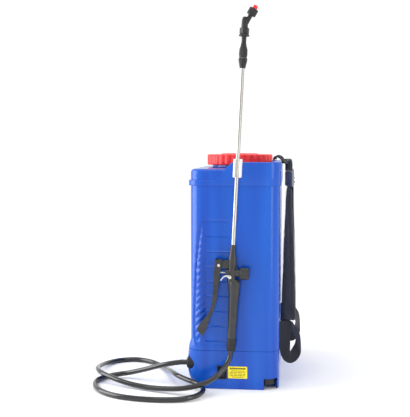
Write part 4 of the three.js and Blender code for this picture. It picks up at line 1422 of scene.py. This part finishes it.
@dataclass
class Lid(Assembly):
    """The screw lid, its gasket and the strainer under it."""

    lobes: int = 30
    lobe_deep: float = 1.8
    steps: int = 240
    slots: int = 36
    slot_rows: tuple[float, ...] = (448, 460, 472, 484, 496)
    basket_wall: float = 1.6

    def cap(self) -> bmesh.types.BMesh:
        """The lobed lid.

        Returns:
            The mesh, in millimetres.
        """
        bm = spun([
            (0, 520.2), (14, 520.2), (15, 520.8), (17, 521.1), (38.5, 521.3), (41, 521.2),
            (43, 520.6), (45.5, 519.2), (48, 518.9), (66, 518.9), (67.2, 518.2), (69.2, 518.2),
            (70.4, 518.9), (74.5, 518.8), (76.4, 518.2), (77.5, 516.9), (77.8, 515.2), (77.8, 505),
            (77.8, 497), (77.4, 495.2), (76.4, 494.2), (74.8, 494.05), (71.6, 494.1),
            (70.5, 495), (70.5, 516.35), (20, 516.35), (0, 516.35),
        ], self.steps)
        for vert in bm.verts:
            radius = math.hypot(vert.co.x, vert.co.y)
            if radius > 70.8 and vert.co.z < 518.6:
                angle = math.atan2(vert.co.y, vert.co.x)
                wave = (0.5 - 0.5 * math.cos(self.lobes * angle)) ** 1.6
                fade = 1 - ease(vert.co.z, 515.4, 518.6)
                drawn_in(vert, self.lobe_deep * wave * fade)
        return bm

    def build(self) -> None:
        """Makes the lid's pieces."""
        self.piece("lid_cap", self.cap(), RED, ["lid"], body="lid_cap", sharp=40)
        self.dress(RUBBER, "lid_gasket")
        self.strainer()

    def strainer(self) -> None:
        """The strainer basket: a rim, a slotted wall and a floor."""
        profile = [(0, 443.2), (20, 443.2), (48, 443.2), (52.6, 443.6)]
        for z in self.slot_rows:
            profile += [(52.6 + (z - 444) * 0.055, z), (53.1 + (z - 444) * 0.055, z + 9)]
        profile += [(56.4, 511), (57.4, 512.7), (63.6, 512.7)]
        bm = spun(profile, 108)
        slots = []
        for face in bm.faces:
            spot = face.calc_center_median()
            share = (math.atan2(spot.y, spot.x) / math.tau * self.slots) % 1
            if share > 0.34 and any(z + 2 < spot.z < z + 7 for z in self.slot_rows):
                slots.append(face)
        bmesh.ops.delete(bm, geom=slots, context="FACES")
        basket = self.piece("strainer_basket", bm, STRAINER, ["filter_basket"], body="strainer")
        self.walled(basket, self.basket_wall, 0)


# ------------------------------------------------------------------ lance and handle
@dataclass
class Lance(Assembly):
    """The steel lance with its clip, nuts and angled nozzle head."""

    foot: Point3 = (-12, -208, 92)
    lean: float = 2.8
    head_lean: float = 28
    head_start: Point2 = (0.5, 703)
    tube: float = 4.3
    tube_ends: Point2 = (196, 654)
    slip: float = 0.3
    clip_ends: Point2 = (378.6, 418.4)
    clip_wall: float = 15.7
    hexagon: float = 10.4

    def place(self) -> Matrix:
        """From the lance's own frame to the sprayer's."""
        return moved(*self.foot) @ Matrix.Rotation(math.radians(self.lean), 4, "Y")

    def head(self) -> Matrix:
        """From the nozzle's own frame to the sprayer's.

        Returns:
            The transform.
        """
        aside, up = self.head_start
        lean = Matrix.Rotation(math.radians(self.head_lean), 4, "Y")
        return self.place() @ moved(aside, 0, up) @ lean

    def ribbed(
        self, profile: Sequence[Point2], ribs: int, deep: float, low: float, high: float,
        ring: bool = True,
    ) -> bmesh.types.BMesh:
        """A turned nut with grip ribs between two heights.

        Args:
            profile: Its (radius, height) points.
            ribs: Number of ribs.
            deep: Their depth.
            low: Where they start.
            high: Where they end.
            ring: Whether the profile closes on itself.

        Returns:
            Its mesh.
        """
        bm = spun(profile, ribs * 6, ring)
        widest = max(r for r, _ in profile)
        for vert in bm.verts:
            radius = math.hypot(vert.co.x, vert.co.y)
            if radius > widest - 2.2 * deep - 0.6 and low <= vert.co.z <= high:
                wave = 0.5 - 0.5 * math.cos(ribs * math.atan2(vert.co.y, vert.co.x))
                drawn_in(vert, deep * wave ** 2)
        return bm

    def clip(self) -> bmesh.types.BMesh:
        """The white clip: a back plate and two jaws that hold the tube.

        Returns:
            The mesh, in millimetres.
        """
        slot, wall = self.tube + self.slip, self.clip_wall
        cheek = [
            (9.3, wall), (9.3, wall - 3), (6.6, wall - 4), (8.4, 5), (9.1, 0.5),
            (8.6, -3.6), (7.4, -5.0), (5.4, -5.0), (3.9, -3.4),
        ]
        arc = [at_angle(slot, degrees) for degrees in range(-38, 219, 16)]
        outline = [*cheek, *arc, *((-x, y) for x, y in reversed(cheek))]
        return drawn(outline, *self.clip_ends, 0.8, 2)

    def build(self) -> None:
        """Makes the lance's pieces."""
        place, bore, tube = self.place(), self.tube + self.slip, self.tube
        start, end = self.tube_ends
        self.piece("lance_pipe", spun([
            (3.3, start + 0.2), (3.5, start), (tube - 0.2, start), (tube, start + 0.2),
            (tube, end - 0.2), (tube - 0.2, end), (3.5, end), (3.3, end - 0.2),
        ], 40, ring=True), STEEL, ["lance_tube"], place=place)
        self.piece("lance_holder", self.clip(), WHITE, ["lance_clip"], place=place)
        self.piece("tube_collar", self.ribbed([
            (bore, 612.3), (bore + 0.3, 612), (5.9, 612), (6.3, 612.6), (7.2, 618), (8.6, 624),
            (9.3, 627.6), (9.3, 633), (9.0, 633.4), (bore, 633.4),
        ], 14, 0.7, 620, 633.2), BLACK, ["tube_nut"], place=place)
        self.piece("head_sleeve", self.ribbed([
            (bore, 634.6), (7.8, 634.6), (8.3, 635.2), (8.8, 638), (9.0, 641), (8.9, 647), (8.6, 652),
            (7.4, 656), (6.2, 660), (5.6, 664.2), (5.2, 664.7), (3, 664.7), (3, 656), (bore, 656),
        ], 12, 0.9, 637, 653), BLACK, ["head_nut"], place=place)
        self.piece("head_neck", spun([
            (2.5, 665), (4.8, 665), (5.1, 665.3), (5.1, 676.6), (5.6, 678), (7, 679), (10.8, 679.2),
            (11.2, 679.6), (11.2, 681.2), (10.8, 681.9), (9.8, 683.6), (9.2, 684), (6.4, 684),
            (6.4, 695.5), (2.5, 695.5),
        ], 48, ring=True), BLACK, ["head_adapter"], place=place)
        self.piece("hex_nut", self.hexagon_nut(), BLACK, ["head_hex_nut"], place=place)
        self.nozzle()

    def hexagon_nut(self) -> bmesh.types.BMesh:
        """The head's hexagon nut.

        Returns:
            Its mesh.
        """
        outline = divided([at_angle(self.hexagon, 15 + 60 * corner) for corner in range(6)], 2.4)

        def around(shrink: float, z: float) -> Section:
            """The hexagon, made a little smaller, at a height."""
            return lambda x, y: (x * (1 - shrink / 9), y * (1 - shrink / 9), z)

        def inner(z: float) -> Section:
            """The nut's round bore, at a height."""
            return lambda x, y: (6.7 * x / math.hypot(x, y), 6.7 * y / math.hypot(x, y), z)
        outside = [around(0.6, 684.4), around(0, 685.2), around(0, 696.0), around(0.7, 696.9)]
        return lofted(outline, [*outside, inner(696.9), inner(684.4)], ring=True)

    def nozzle(self) -> None:
        """Makes the elbow, its cap and its red tip."""
        stem = set_at(spun([
            (0, 697.4), (6.6, 697.4), (7, 697.8), (7, 702), (6.9, 706), (6.6, 711),
            (6.1, 715), (5.2, 718.4), (3.4, 720.4), (0, 721),
        ], 40), self.place())
        branch = set_at(spun([
            (0, 3), (5.2, 4), (5.0, 12), (4.8, 20), (4.8, 30.2), (4.5, 30.5), (0, 30.5),
        ], 36), self.head())
        self.piece("elbow_pipe", joined(stem, branch), BLACK, ["elbow"], body="elbow_head")
        self.piece("nozzle_collar", self.ribbed([
            (5.1, 23.5), (8.6, 23.5), (9.2, 23.9), (10, 25.6), (10, 37.3), (9.7, 38.1),
            (8.6, 39.1), (5.6, 39.1), (5.6, 36), (7.6, 36), (7.6, 31), (5.1, 31),
        ], 16, 0.8, 25, 37.6), BLACK, ["nozzle_cap"], body="nozzle", place=self.head())
        self.piece("spray_tip", spun([
            (1, 31.2), (7.2, 31.2), (7.2, 35.6), (5.4, 35.6), (5.2, 36), (5.2, 42),
            (4.9, 45.6), (4.4, 46.6), (3.6, 47), (1.6, 47), (1.0, 46.2),
        ], 36, ring=True), RED, ["nozzle_tip"], body="nozzle", place=self.head())


@dataclass
class Handle(Lance):
    """The trigger handle on the lance's lower end."""

    grip: float = 6.5
    valve: float = 171
    pivot: tuple[float, float] = (-29, 187)
    lock: tuple[float, float] = (-4, 163)
    cheek: float = 2.6
    lever_face: float = 3.2

    def body_shape(self) -> bmesh.types.BMesh:
        """Grip, valve body, upper column and trigger bracket.

        Returns:
            The mesh, in millimetres.
        """
        column = self.ribbed([
            (0, 150), (9.2, 150), (9.2, 200), (8.8, 204), (7.4, 210), (6.7, 214), (6.3, 222),
            (6.0, 231.8), (5.6, 232.9), (4.6, 233), (4.6, 226), (0, 226),
        ], 8, 0.5, 206, 231, ring=False)
        grip = spun([
            (0, 9), (6.8, 9), (7.2, 9.4), (7.2, 26), (8.9, 26), (9.4, 26.5), (9.45, 31), (9.5, 44),
            (9.8, 62), (10.3, 84), (10.9, 108), (11.8, 124), (13.0, 138), (13.6, 144), (13.7, 148),
            (13.2, 150.6), (11.6, 153.4), (9.8, 156), (8, 158), (0, 158),
        ], 56)
        for vert in grip.verts:
            radius = math.hypot(vert.co.x, vert.co.y)
            if radius > 8.5 and 26.2 < vert.co.z < 150:
                angle = math.atan2(vert.co.y, vert.co.x)
                flute = max(0.0, math.cos(8 * angle)) ** 2 * (1 - ease(vert.co.z, 38, 60))
                oval = 0.7 * abs(math.sin(angle)) * ease(vert.co.z, 30, 60)
                drawn_in(vert, 0.55 * flute + oval)
        set_at(grip, moved(self.grip, 0, 0))
        across = (Way.X.turn(), moved(0, 0, self.valve))
        boss = set_at(spun([
            (0, -14), (7.8, -14), (8.4, -13.4), (8.5, -12), (8.5, 17.0), (0, 17.2),
        ], 44), *across)
        collar = set_at(spun([(8, -7), (9.4, -6.4), (9.4, -4.6), (8, -4)], 44, ring=True), *across)
        arm = laid(drawn([
            (-33, 184), (-33.4, 188), (-32, 191), (-26, 195), (-16, 198.5), (-4, 201),
            (-4, 182), (-14, 180.5), (-26, 180), (-31, 182),
        ], -4.5, 4.5, 1.0, 2))
        gusset = laid(drawn([(-7, 152), (-9.5, 160), (-7, 166), (0, 166), (0, 150)], -3, 3, 0.8))
        rib = laid(drawn([(9, 186), (12.5, 180), (9, 178), (4, 178), (4, 204), (8, 202)], -2, 2, 0.6))
        return joined(column, grip, boss, collar, arm, gusset, rib)

    def lever(self) -> bmesh.types.BMesh:
        """The long curved trigger: a channel with a thickened pull at its lower end.

        Returns:
            The mesh, in millimetres.
        """
        front = smooth_line([
            (-36.6, 199.2), (-37.4, 198), (-38.6, 173), (-38.8, 147), (-39.0, 122), (-40.6, 100),
            (-46, 82), (-55.4, 67), (-63, 56), (-68, 48.5), (-69, 43.5), (-65.5, 37.5), (-59.4, 32.4),
        ], 3)
        rear = smooth_line([
            (-55.6, 30.6), (-53.2, 34), (-50.0, 43), (-45.8, 58), (-40.0, 74), (-34.8, 90),
            (-31.0, 106), (-28.8, 122), (-27.4, 146), (-24.8, 172), (-22.4, 196), (-23.4, 199.2),
        ], 3)
        outline = [*front, *rear]
        cheek = self.cheek
        cheeks = [laid(drawn(outline, low, low + cheek, 0.8, 2)) for low in (-8.5, 8.5 - cheek)]
        back = [(x + self.lever_face, z) for x, z in reversed(front[:-5])]
        face = laid(drawn([*front[:-5], *back], -8.2, 8.2, 1.0, 3))
        pull = laid(drawn(smooth_line([
            (-61, 58.6), (-67, 49.6), (-68.4, 43.6), (-65, 38), (-59.4, 33), (-56, 31.6),
            (-53.6, 35), (-50.6, 43.4), (-48.2, 52), (-52, 58.6),
        ], 3), -8.3, 8.3, 1.5, 3))
        return joined(*cheeks, face, pull)

    def build(self) -> None:
        """Makes the handle's pieces."""
        place = self.place()
        across = (Way.X.turn(), moved(0, 0, self.valve))
        self.piece("handle_grip", self.body_shape(), CHARCOAL, ["handle_body"], place=place, sharp=40)
        self.piece(
            "trigger", self.lever(), CHARCOAL, ["trigger_lever"], body="trigger", place=place, sharp=40,
        )
        half_pin = [(0, -9.9), (3.0, -9.9), (3.2, -9.6), (3.2, -8.9), (1.6, -8.8)]
        pin = spun([*half_pin, *((radius, -height) for radius, height in reversed(half_pin))], 28)
        set_at(pin, Way.Y.turn(), moved(self.pivot[0], 0, self.pivot[1]))
        self.piece("trigger_pivot", pin, ZINC, ["trigger_pin"], place=place)
        knob = self.ribbed([
            (7, 17.6), (11.6, 17.6), (12.4, 18.2), (13.2, 20), (13.2, 35), (12.6, 36.6), (11.4, 37.4),
            (6, 37.6), (5.2, 36.8), (0.01, 36.8), (0.01, 33), (7, 33),
        ], 22, 0.9, 19.6, 35.4)
        self.piece("valve_knob", set_at(knob, *across), CHARCOAL, ["valve_cap"], place=place)
        collar = self.ribbed([
            (2, 0), (7.6, 0), (8.8, 0.5), (9.6, 1.6), (10.3, 3.6), (10.3, 22.5), (9.9, 24.6),
            (9.2, 25.6), (7.6, 25.6), (7.6, 8), (2, 8),
        ], 18, 0.8, 3, 23)
        set_at(collar, moved(self.grip, 0, 0))
        self.piece("hose_collar", collar, BLACK, ["hose_nut"], place=place)
        self.piece("lock_hook", self.hook(), ZINC, ["lever_lock"], body="lock", place=place)
        self.dress(ZINC, "valve_stem", "valve_spring")
        self.dress(BRASS, "handle_filter")

    def hook(self) -> bmesh.types.BMesh:
        """The wire hook that holds the trigger down.

        Returns:
            The mesh, in millimetres.
        """
        eye = [at_angle(4.2, degrees) for degrees in range(-90, 91, 15)]
        upper = smooth_line([
            (-3, 4.6), (-8, 4.2), (-12.6, 2.2), (-16, -1.2), (-18.6, -5), (-19.9, -8),
        ], 3)
        lower = smooth_line([
            (-17.2, -9), (-15.4, -5), (-12.4, -1.6), (-9, 0.2), (-5, 0), (-2.4, -2.6),
        ], 3)
        plate = laid(drawn([*eye, *upper, *lower], 9.7, 11.5, 0.4, 2))
        rivet = spun([(0, 6), (2, 6), (2, 11.5), (3.4, 11.6), (3.4, 12.1), (2.6, 12.5), (0, 12.6)], 24)
        set_at(rivet, Way.Y.turn(), Matrix.Diagonal((1, -1, 1, 1)))
        bmesh.ops.reverse_faces(rivet, faces=rivet.faces)
        return set_at(joined(plate, rivet), moved(self.lock[0], 0, self.lock[1]))


# ------------------------------------------------------------------ hose
@dataclass
class Hose(Assembly):
    """The delivery hose: out of the base, two loose loops on the floor, up to the handle."""

    radius: float = 5.75
    route: tuple[Point3, ...] = (
        (-107.4, -172, 54), (-122, -172, 53.5), (-160, -165, 45), (-205, -146, 28.5),
        (-246, -129, 14.5), (-268, -125.8, 10), (-289, -132.8, 7.5), (-307, -151, 6),
        (-314, -180, 6), (-304, -222, 6), (-277, -260, 6), (-236, -287, 6),
        (-176, -301, 6), (-113, -298, 6.5), (-80, -282, 8), (-65, -258, 10),
        (-64.5, -232, 12.5), (-78, -209, 15.5), (-102, -193, 19), (-129, -169, 22.5),
        (-148, -128, 20), (-164, -82, 13), (-186, -34, 7), (-218, 6, 6),
        (-260, 25, 6), (-301, 11, 6), (-323, -25, 8), (-329, -68, 13),
        (-326, -112, 18), (-308, -152, 19.5), (-276, -182, 16.5), (-235, -203, 10.5),
        (-190, -220, 8), (-146, -236, 10.5), (-100, -249, 17), (-60, -246.5, 28),
        (-35, -234.5, 41), (-18, -219, 57.5), (-8, -209.2, 76), (-6.2, -208, 90.9),
    )
    length: float = 1.543

    def run(self) -> bpy.types.Object:
        """The hose itself, as one open curve.

        Returns:
            The curve's object.
        """
        curve = bpy.data.curves.new("hose_line", "CURVE")
        curve.dimensions = "3D"
        curve.bevel_depth = self.radius * MM
        curve.bevel_resolution = 5
        curve.resolution_u = 10
        curve.use_fill_caps = True
        spline = curve.splines.new("BEZIER")
        spline.bezier_points.add(len(self.route) - 1)
        ends = [self.route[0], *self.route, self.route[-1]]
        for point, before, here, after in zip(spline.bezier_points, ends, self.route, ends[2:]):
            here_v = Vector(here)
            back, ahead = (Vector(before) - here_v).length, (Vector(after) - here_v).length
            heading = (Vector(after) - Vector(before)).normalized()
            point.handle_left_type = point.handle_right_type = "FREE"
            point.co = here_v * MM
            point.handle_left = (here_v - heading * back / 3) * MM
            point.handle_right = (here_v + heading * ahead / 3) * MM
        curve.materials.append(HOSE.material())
        made = bpy.data.objects.new("hose_run", curve)
        bpy.context.scene.collection.objects.link(made)
        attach(made, "root")
        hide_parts("hose")
        return made

    def gland(self) -> bpy.types.Object:
        """The ribbed nut that holds the hose in the base, with its tapered sleeve.

        Returns:
            The nut's object.
        """
        shape = Lance().ribbed([
            (10, -87.6), (13, -87.6), (13, -102.6), (12.4, -104.6), (11, -106), (8.4, -106.8),
            (6.6, -107.2), (2, -107.2), (2, -103), (10, -103),
        ], 18, 1.0, -103, -88)
        _, middle_y, middle_z = self.route[0]
        set_at(shape, Way.X.turn(), moved(0, middle_y, middle_z))
        return self.piece("outlet_gland", shape, BLACK, ["outlet_nut"])

    def declare(self, hose: bpy.types.Object) -> None:
        """Makes the ribbed nut that holds the hose's end in the base.

        Args:
            hose: The hose's own object; not used.
        """
        gland = self.gland()
        start = tuple(value * MM for value in self.route[0])


# ------------------------------------------------------------------ straps
Station = tuple[Point3, Point3]


def band(stations: Sequence[Station], thick: float, across: int = 6) -> bmesh.types.BMesh:
    """A strip of webbing through a row of stations.

    Args:
        stations: Each the strip's middle and half its width as a vector.
        thick: Its thickness.
        across: Faces across its width.

    Returns:
        Its mesh, with the weave's "along" and "across" on its points, in metres.
    """
    bm = bmesh.new()
    along = bm.verts.layers.float.new("along")
    width = bm.verts.layers.float.new("across")
    middle, half = Vector(stations[0][0]), Vector(stations[0][1])
    verts = []
    for step in range(across + 1):
        share = 2 * step / across - 1
        vert = bm.verts.new(middle + half * share)
        vert[width] = share * half.length * MM
        verts.append(vert)
    row = [bm.edges.new(pair) for pair in zip(verts, verts[1:])]
    run = 0.0
    for (old, _), (new, new_half) in zip(stations, stations[1:]):
        run += (Vector(new) - Vector(old)).length
        grown = bmesh.ops.extrude_edge_only(bm, edges=row)["geom"]
        for vert in new_verts(grown):
            vert.co = Vector(new) + Vector(new_half) * (vert[width] / (half.length * MM))
            vert[along] = run * MM
        row = far_edges(grown)
    bmesh.ops.recalc_face_normals(bm, faces=bm.faces)
    bmesh.ops.solidify(bm, geom=bm.faces[:], thickness=thick)
    bmesh.ops.recalc_face_normals(bm, faces=bm.faces)
    return bm


def side_band(path: Sequence[Point2], half: float, thick: float) -> bmesh.types.BMesh:
    """A strip of webbing that keeps its width along +Y.

    Args:
        path: (x, z) points of its middle.
        half: Half its width.
        thick: Its thickness.

    Returns:
        Its mesh.
    """
    fine = smooth_line(path, 6)
    return band([((x, 0, z), (0, half, 0)) for x, z in fine], thick)


@dataclass
class Strap(Assembly):
    """One shoulder strap: arch, hanger, buckle, pad and adjusting loop."""

    side: int
    word: str
    offset: float = 110
    webbing: float = 19
    pad_x: float = 119
    pad_turn: tuple[float, float] = (13, 40)
    buckle_turn: float = 20
    pad_top: float = 446
    pad_low: float = 141
    swell: float = 3.0
    voxel: float = 4.0
    pressure: float = 4
    stretch: float = 40
    bending: float = 2
    frames: int = 20
    stitch_face: float = 5.2
    stitch_inset: float = 0.80
    slide: tuple[float, float, float] = (24, 447.4, 481.4)
    arch_foot: float = 503.3

    def place(self) -> Matrix:
        """From the right strap's own frame to its place, mirrored for the left one."""
        return Matrix.Diagonal((1, -self.side, 1, 1)) @ moved(0, -self.offset, 0)

    def put(
        self, name: str, bm: bmesh.types.BMesh, finish: Finish, *nodes: str, sharp: float = 45,
    ) -> bpy.types.Object:
        """Places one of the strap's pieces.

        Args:
            name: Its name, without the strap's word.
            bm: Its mesh in the strap's frame.
            finish: Its finish.
            nodes: CAD nodes it stands for, without the strap's word.
            sharp: Angle of its crisp edges.

        Returns:
            The object.
        """
        if self.side > 0:
            bmesh.ops.reverse_faces(bm, faces=bm.faces)
        return self.piece(
            f"{name}_{self.word}", bm, finish, [f"{node}_{self.word}" for node in nodes],
            sharp=sharp, place=self.place(),
        )

    def stitches(self, places: Sequence[tuple[Point3, Point3]], size: float = 0.45) -> bmesh.types.BMesh:
        """Short threads, each a small rounded bar.

        Args:
            places: Each the thread's middle and its half-length vector.
            size: Half its thickness.

        Returns:
            One mesh of them all.
        """
        bm = bmesh.new()
        for middle, half in places:
            reach = Vector(half)
            turn = reach.to_track_quat("X", "Z").to_matrix().to_4x4()
            size_up = Matrix.Diagonal((reach.length, size, size, 1))
            place = Matrix.Translation(middle) @ turn @ size_up
            bmesh.ops.create_icosphere(bm, subdivisions=1, radius=1, matrix=place)
        return bm

    def buckle(self) -> bmesh.types.BMesh:
        """A three-bar slide: a frame with two cross bars.

        Returns:
            The mesh, in millimetres.
        """
        half, low, high = self.slide
        outline = divided(rounded(-half, half, low, high, 4.5, 6), 4)
        middle = (low + high) / 2

        def at(shrink: float, x: float) -> Section:
            """The frame's outline, drawn in by an amount, at an x."""
            def place(y: float, z: float) -> Point3:
                """An outline point's place."""
                return x, y * (1 - shrink / half), middle + (z - middle) * (1 - shrink / (high - middle))
            return place
        frame = lofted(outline, [
            at(0.9, -2.6), at(0.2, -1.9), at(0, -0.8), at(0, 0.8), at(0.2, 1.9), at(0.9, 2.6),
            at(3.4, 2.6), at(4.1, 1.9), at(4.3, 0.8), at(4.3, -0.8), at(4.1, -1.9), at(3.4, -2.6),
        ], ring=True)
        bars = []
        for z, shift, thick in ((middle + 3.6, 1.2, 2.2), (middle - 6.4, 2.6, 2.8)):
            bars.append(set_at(spun([
                (0, -21.6), (thick, -21.6), (thick, -8), (thick * 1.12, 0),
                (thick, 8), (thick, 21.6), (0, 21.6),
            ], 20), Way.Y.turn(), moved(shift, 0, z)))
        tab = set_at(drawn(rounded(-15, 15, -7, 0, 3, 4), -1.3, 1.3, 0.7, 2),
                     ON_X,
                     Matrix.Rotation(math.radians(-24), 4, "Y"), moved(1.0, 0, low + 5.0))
        shape = joined(frame, *bars, tab)
        levels = (low + 0.6, middle - 6, middle + 4, high - 0.6)
        web = band([((0.4, 0, z), (0, 18.6, 0)) for z in levels], 1.4)
        turn = Matrix.Rotation(math.radians(self.buckle_turn), 4, "Z")
        return set_at(joined(shape, web), turn, moved(self.pad_x, 0, 0))

    def pad_outline(self) -> list[Point2]:
        """The pad's outline, as (across, height).

        Returns:
            The outline.
        """
        right = smooth_line([
            (17.5, self.pad_low), (22.4, self.pad_low + 5), (24.6, self.pad_low + 14), (25, 190),
            (25, 260), (24.8, 320), (23.8, 350), (21.6, 380), (19.4, 405), (18.2, 425),
            (17.6, self.pad_top),
        ], 4)
        return [*right, *[(-x, z) for x, z in reversed(right)]]

    def twisted(self, bm: bmesh.types.BMesh) -> bmesh.types.BMesh:
        """Moves a shape from the pad's flat frame to the strap's, which twists as it hangs.

        Args:
            bm: The shape.

        Returns:
            The same shape, moved.
        """
        top, bottom = self.pad_turn
        for vert in bm.verts:
            share = ease(vert.co.z, self.pad_low + 40, self.pad_top)
            angle = math.radians(bottom + (top - bottom) * share)
            vert.co = Matrix.Rotation(angle, 3, "Z") @ vert.co
        return set_at(bm, moved(self.pad_x, 0, 0))

    def pad_shape(self) -> bmesh.types.BMesh:
        """The pad's slab before it is filled, with its thickness along X."""
        bm = drawn(divided(self.pad_outline(), 6), -3.3, 3.3, 1.6, 2)
        return set_at(bm, ON_X)

    def filled(self, bm: bmesh.types.BMesh) -> bmesh.types.BMesh:
        """Fills the pad by a cloth simulation and limits how far it swells.

        Args:
            bm: The slab.

        Returns:
            The filled pad.
        """
        set_at(bm, Matrix.Scale(MM, 4))
        mesh = bpy.data.meshes.new("pad_form")
        bm.to_mesh(mesh)
        bm.free()
        form = bpy.data.objects.new("pad_form", mesh)
        bpy.context.scene.collection.objects.link(form)
        voxels = form.modifiers.new("voxels", "REMESH")
        voxels.mode = "VOXEL"
        voxels.voxel_size = self.voxel * MM
        self.bake(form)
        rest = [vert.co.copy() for vert in form.data.vertices]
        cloth = form.modifiers.new("cloth", "CLOTH")
        cloth.settings.use_pressure = True
        cloth.settings.uniform_pressure_force = self.pressure
        cloth.settings.effector_weights.gravity = 0
        cloth.settings.tension_stiffness = self.stretch
        cloth.settings.bending_stiffness = self.bending
        cloth.point_cache.frame_start, cloth.point_cache.frame_end = 1, self.frames
        for step in range(1, self.frames + 1):
            bpy.context.scene.frame_set(step)
        self.bake(form)
        for vert, start in zip(form.data.vertices, rest):
            shift = vert.co - start
            if shift.length > self.swell * MM:
                vert.co = start + shift.normalized() * self.swell * MM
        bpy.context.scene.frame_set(1)
        made = bmesh.new()
        made.from_mesh(form.data)
        bpy.data.objects.remove(form)
        bmesh.ops.smooth_vert(
            made, verts=made.verts, factor=0.5, use_axis_x=True, use_axis_y=True, use_axis_z=True,
        )
        bmesh.ops.subdivide_edges(made, edges=made.edges, cuts=1, use_grid_fill=True, smooth=0.6)
        for layer, axis in (("along", 2), ("across", 1)):
            weave = made.verts.layers.float.new(layer)
            for vert in made.verts:
                vert[weave] = vert.co[axis]
        return set_at(made, Matrix.Scale(1 / MM, 4))

    def bake(self, thing: bpy.types.Object) -> None:
        """Applies what is on an object to its mesh.

        Args:
            thing: The object.
        """
        seen = thing.evaluated_get(bpy.context.evaluated_depsgraph_get())
        mesh = bpy.data.meshes.new_from_object(seen)
        thing.modifiers.clear()
        thing.data = mesh

    def hem(self) -> list[tuple[Point3, Point3]]:
        """Stitches round the pad, on both faces.

        Returns:
            Each stitch's middle and its half-length vector.
        """
        edge = divided(self.pad_outline(), 3.4)
        places = []
        shrink = self.stitch_inset
        for (y0, z0), (y1, z1) in zip(edge, [*edge[1:], edge[0]]):
            middle_y, middle_z = (y0 + y1) / 2 * shrink, (z0 + z1) / 2
            if not self.pad_low + 6 < middle_z < self.pad_top - 6:
                continue
            half = Vector((0, (y1 - y0) * shrink, z1 - z0)) * 0.36
            for face in (-1, 1):
                places.append(((face * self.stitch_face, middle_y, middle_z), tuple(half)))
        return places

    def build(self) -> None:
        """Makes the strap's pieces."""
        top = self.arch_foot
        arch = side_band([
            (81.6, top + 2.2), (82.6, top + 9.0), (87.4, top + 12.6), (94.6, top + 12.4),
            (101.2, top + 8.0), (105.4, top + 2.2),
        ], self.webbing, 4.0)
        self.put("arch", arch, WEBBING, "strap_arch")
        hanger = side_band([
            (105.6, 502.0), (110.6, 506.2), (115.6, 506.4), (118.6, 501), (119.6, 492), (119.4, 482.4),
        ], self.webbing - 1, 4.6)
        middle = moved(116, 0, 0)
        set_at(hanger, middle.inverted(), Matrix.Rotation(math.radians(self.buckle_turn), 4, "Z"), middle)
        self.put("hanger", hanger, WEBBING, "strap_hanger")
        self.put("slide", self.buckle(), GREY, "slide_buckle")
        cushion = self.twisted(self.filled(self.pad_shape()))
        pad = self.put("pad", cushion, PAD_CLOTH, "shoulder_pad", sharp=180)
        runner = band([((6.4, 0, z), (0, 15, 0)) for z in range(446, 139, -12)], 1.5)
        self.put("runner", self.twisted(runner), WEBBING, "shoulder_pad")
        self.put("stitching", self.twisted(self.stitches(self.hem())), WEBBING, "shoulder_pad")
        self.put("tail", self.loop(), WEBBING, "strap_loop")

    def loop(self) -> bmesh.types.BMesh:
        """The adjusting webbing: down, folded at the bottom, and back up to the pad.

        Returns:
            The mesh, in millimetres.
        """
        keys = [
            ((111, -3, 139.5), (12.0, 5.0, 0)), ((110.8, -3, 120), (12.4, 4.0, 0)),
            ((110.6, -3, 98), (12.4, 3.0, 0)), ((110.8, -3, 80), (12.2, 2.0, 2.0)),
            ((113, -2.5, 66), (9.6, 1.0, 7.4)), ((118, -1.5, 58), (5.4, 0, 11.8)),
            ((125, 0, 56.5), (-1.2, 0, 14.0)), ((132, 1.0, 61), (-7.4, 1.0, 10.6)),
            ((138, 2.0, 71), (-9.2, 4.0, 5.6)), ((141.4, 2.5, 84), (-6.4, 9.0, 1.6)),
            ((141.8, 3, 98), (-5.2, 10.5, -0.8)), ((138.4, 3.5, 110), (-6.0, 10.5, -4.0)),
            ((131.6, 3.5, 121), (-6.4, 10.5, -4.6)), ((125.6, 4, 131), (-6.2, 10.8, -2.6)),
            ((123.4, 4.5, 139.5), (-5.2, 11.2, 0)),
        ]
        flat = [tuple(middle) + tuple(half) for middle, half in keys]
        fine = smooth_line(flat, 5)
        return band([(spot[:3], spot[3:]) for spot in fine], 1.6, 8)


def main() -> None:
    """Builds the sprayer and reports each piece."""
    logging.basicConfig(level=logging.INFO, format="%(message)s")
    studio = Studio()
    studio.camera()
    hose = Hose()
    run = hose.run()
    studio.sweep()
    studio.light()
    for assembly in (Tank(), Base(), Lid(), Lance(), Handle(), Strap(-1, "right"), Strap(1, "left")):
        assembly.build()
    hose.declare(run)


if __name__ == "__main__":
    main()
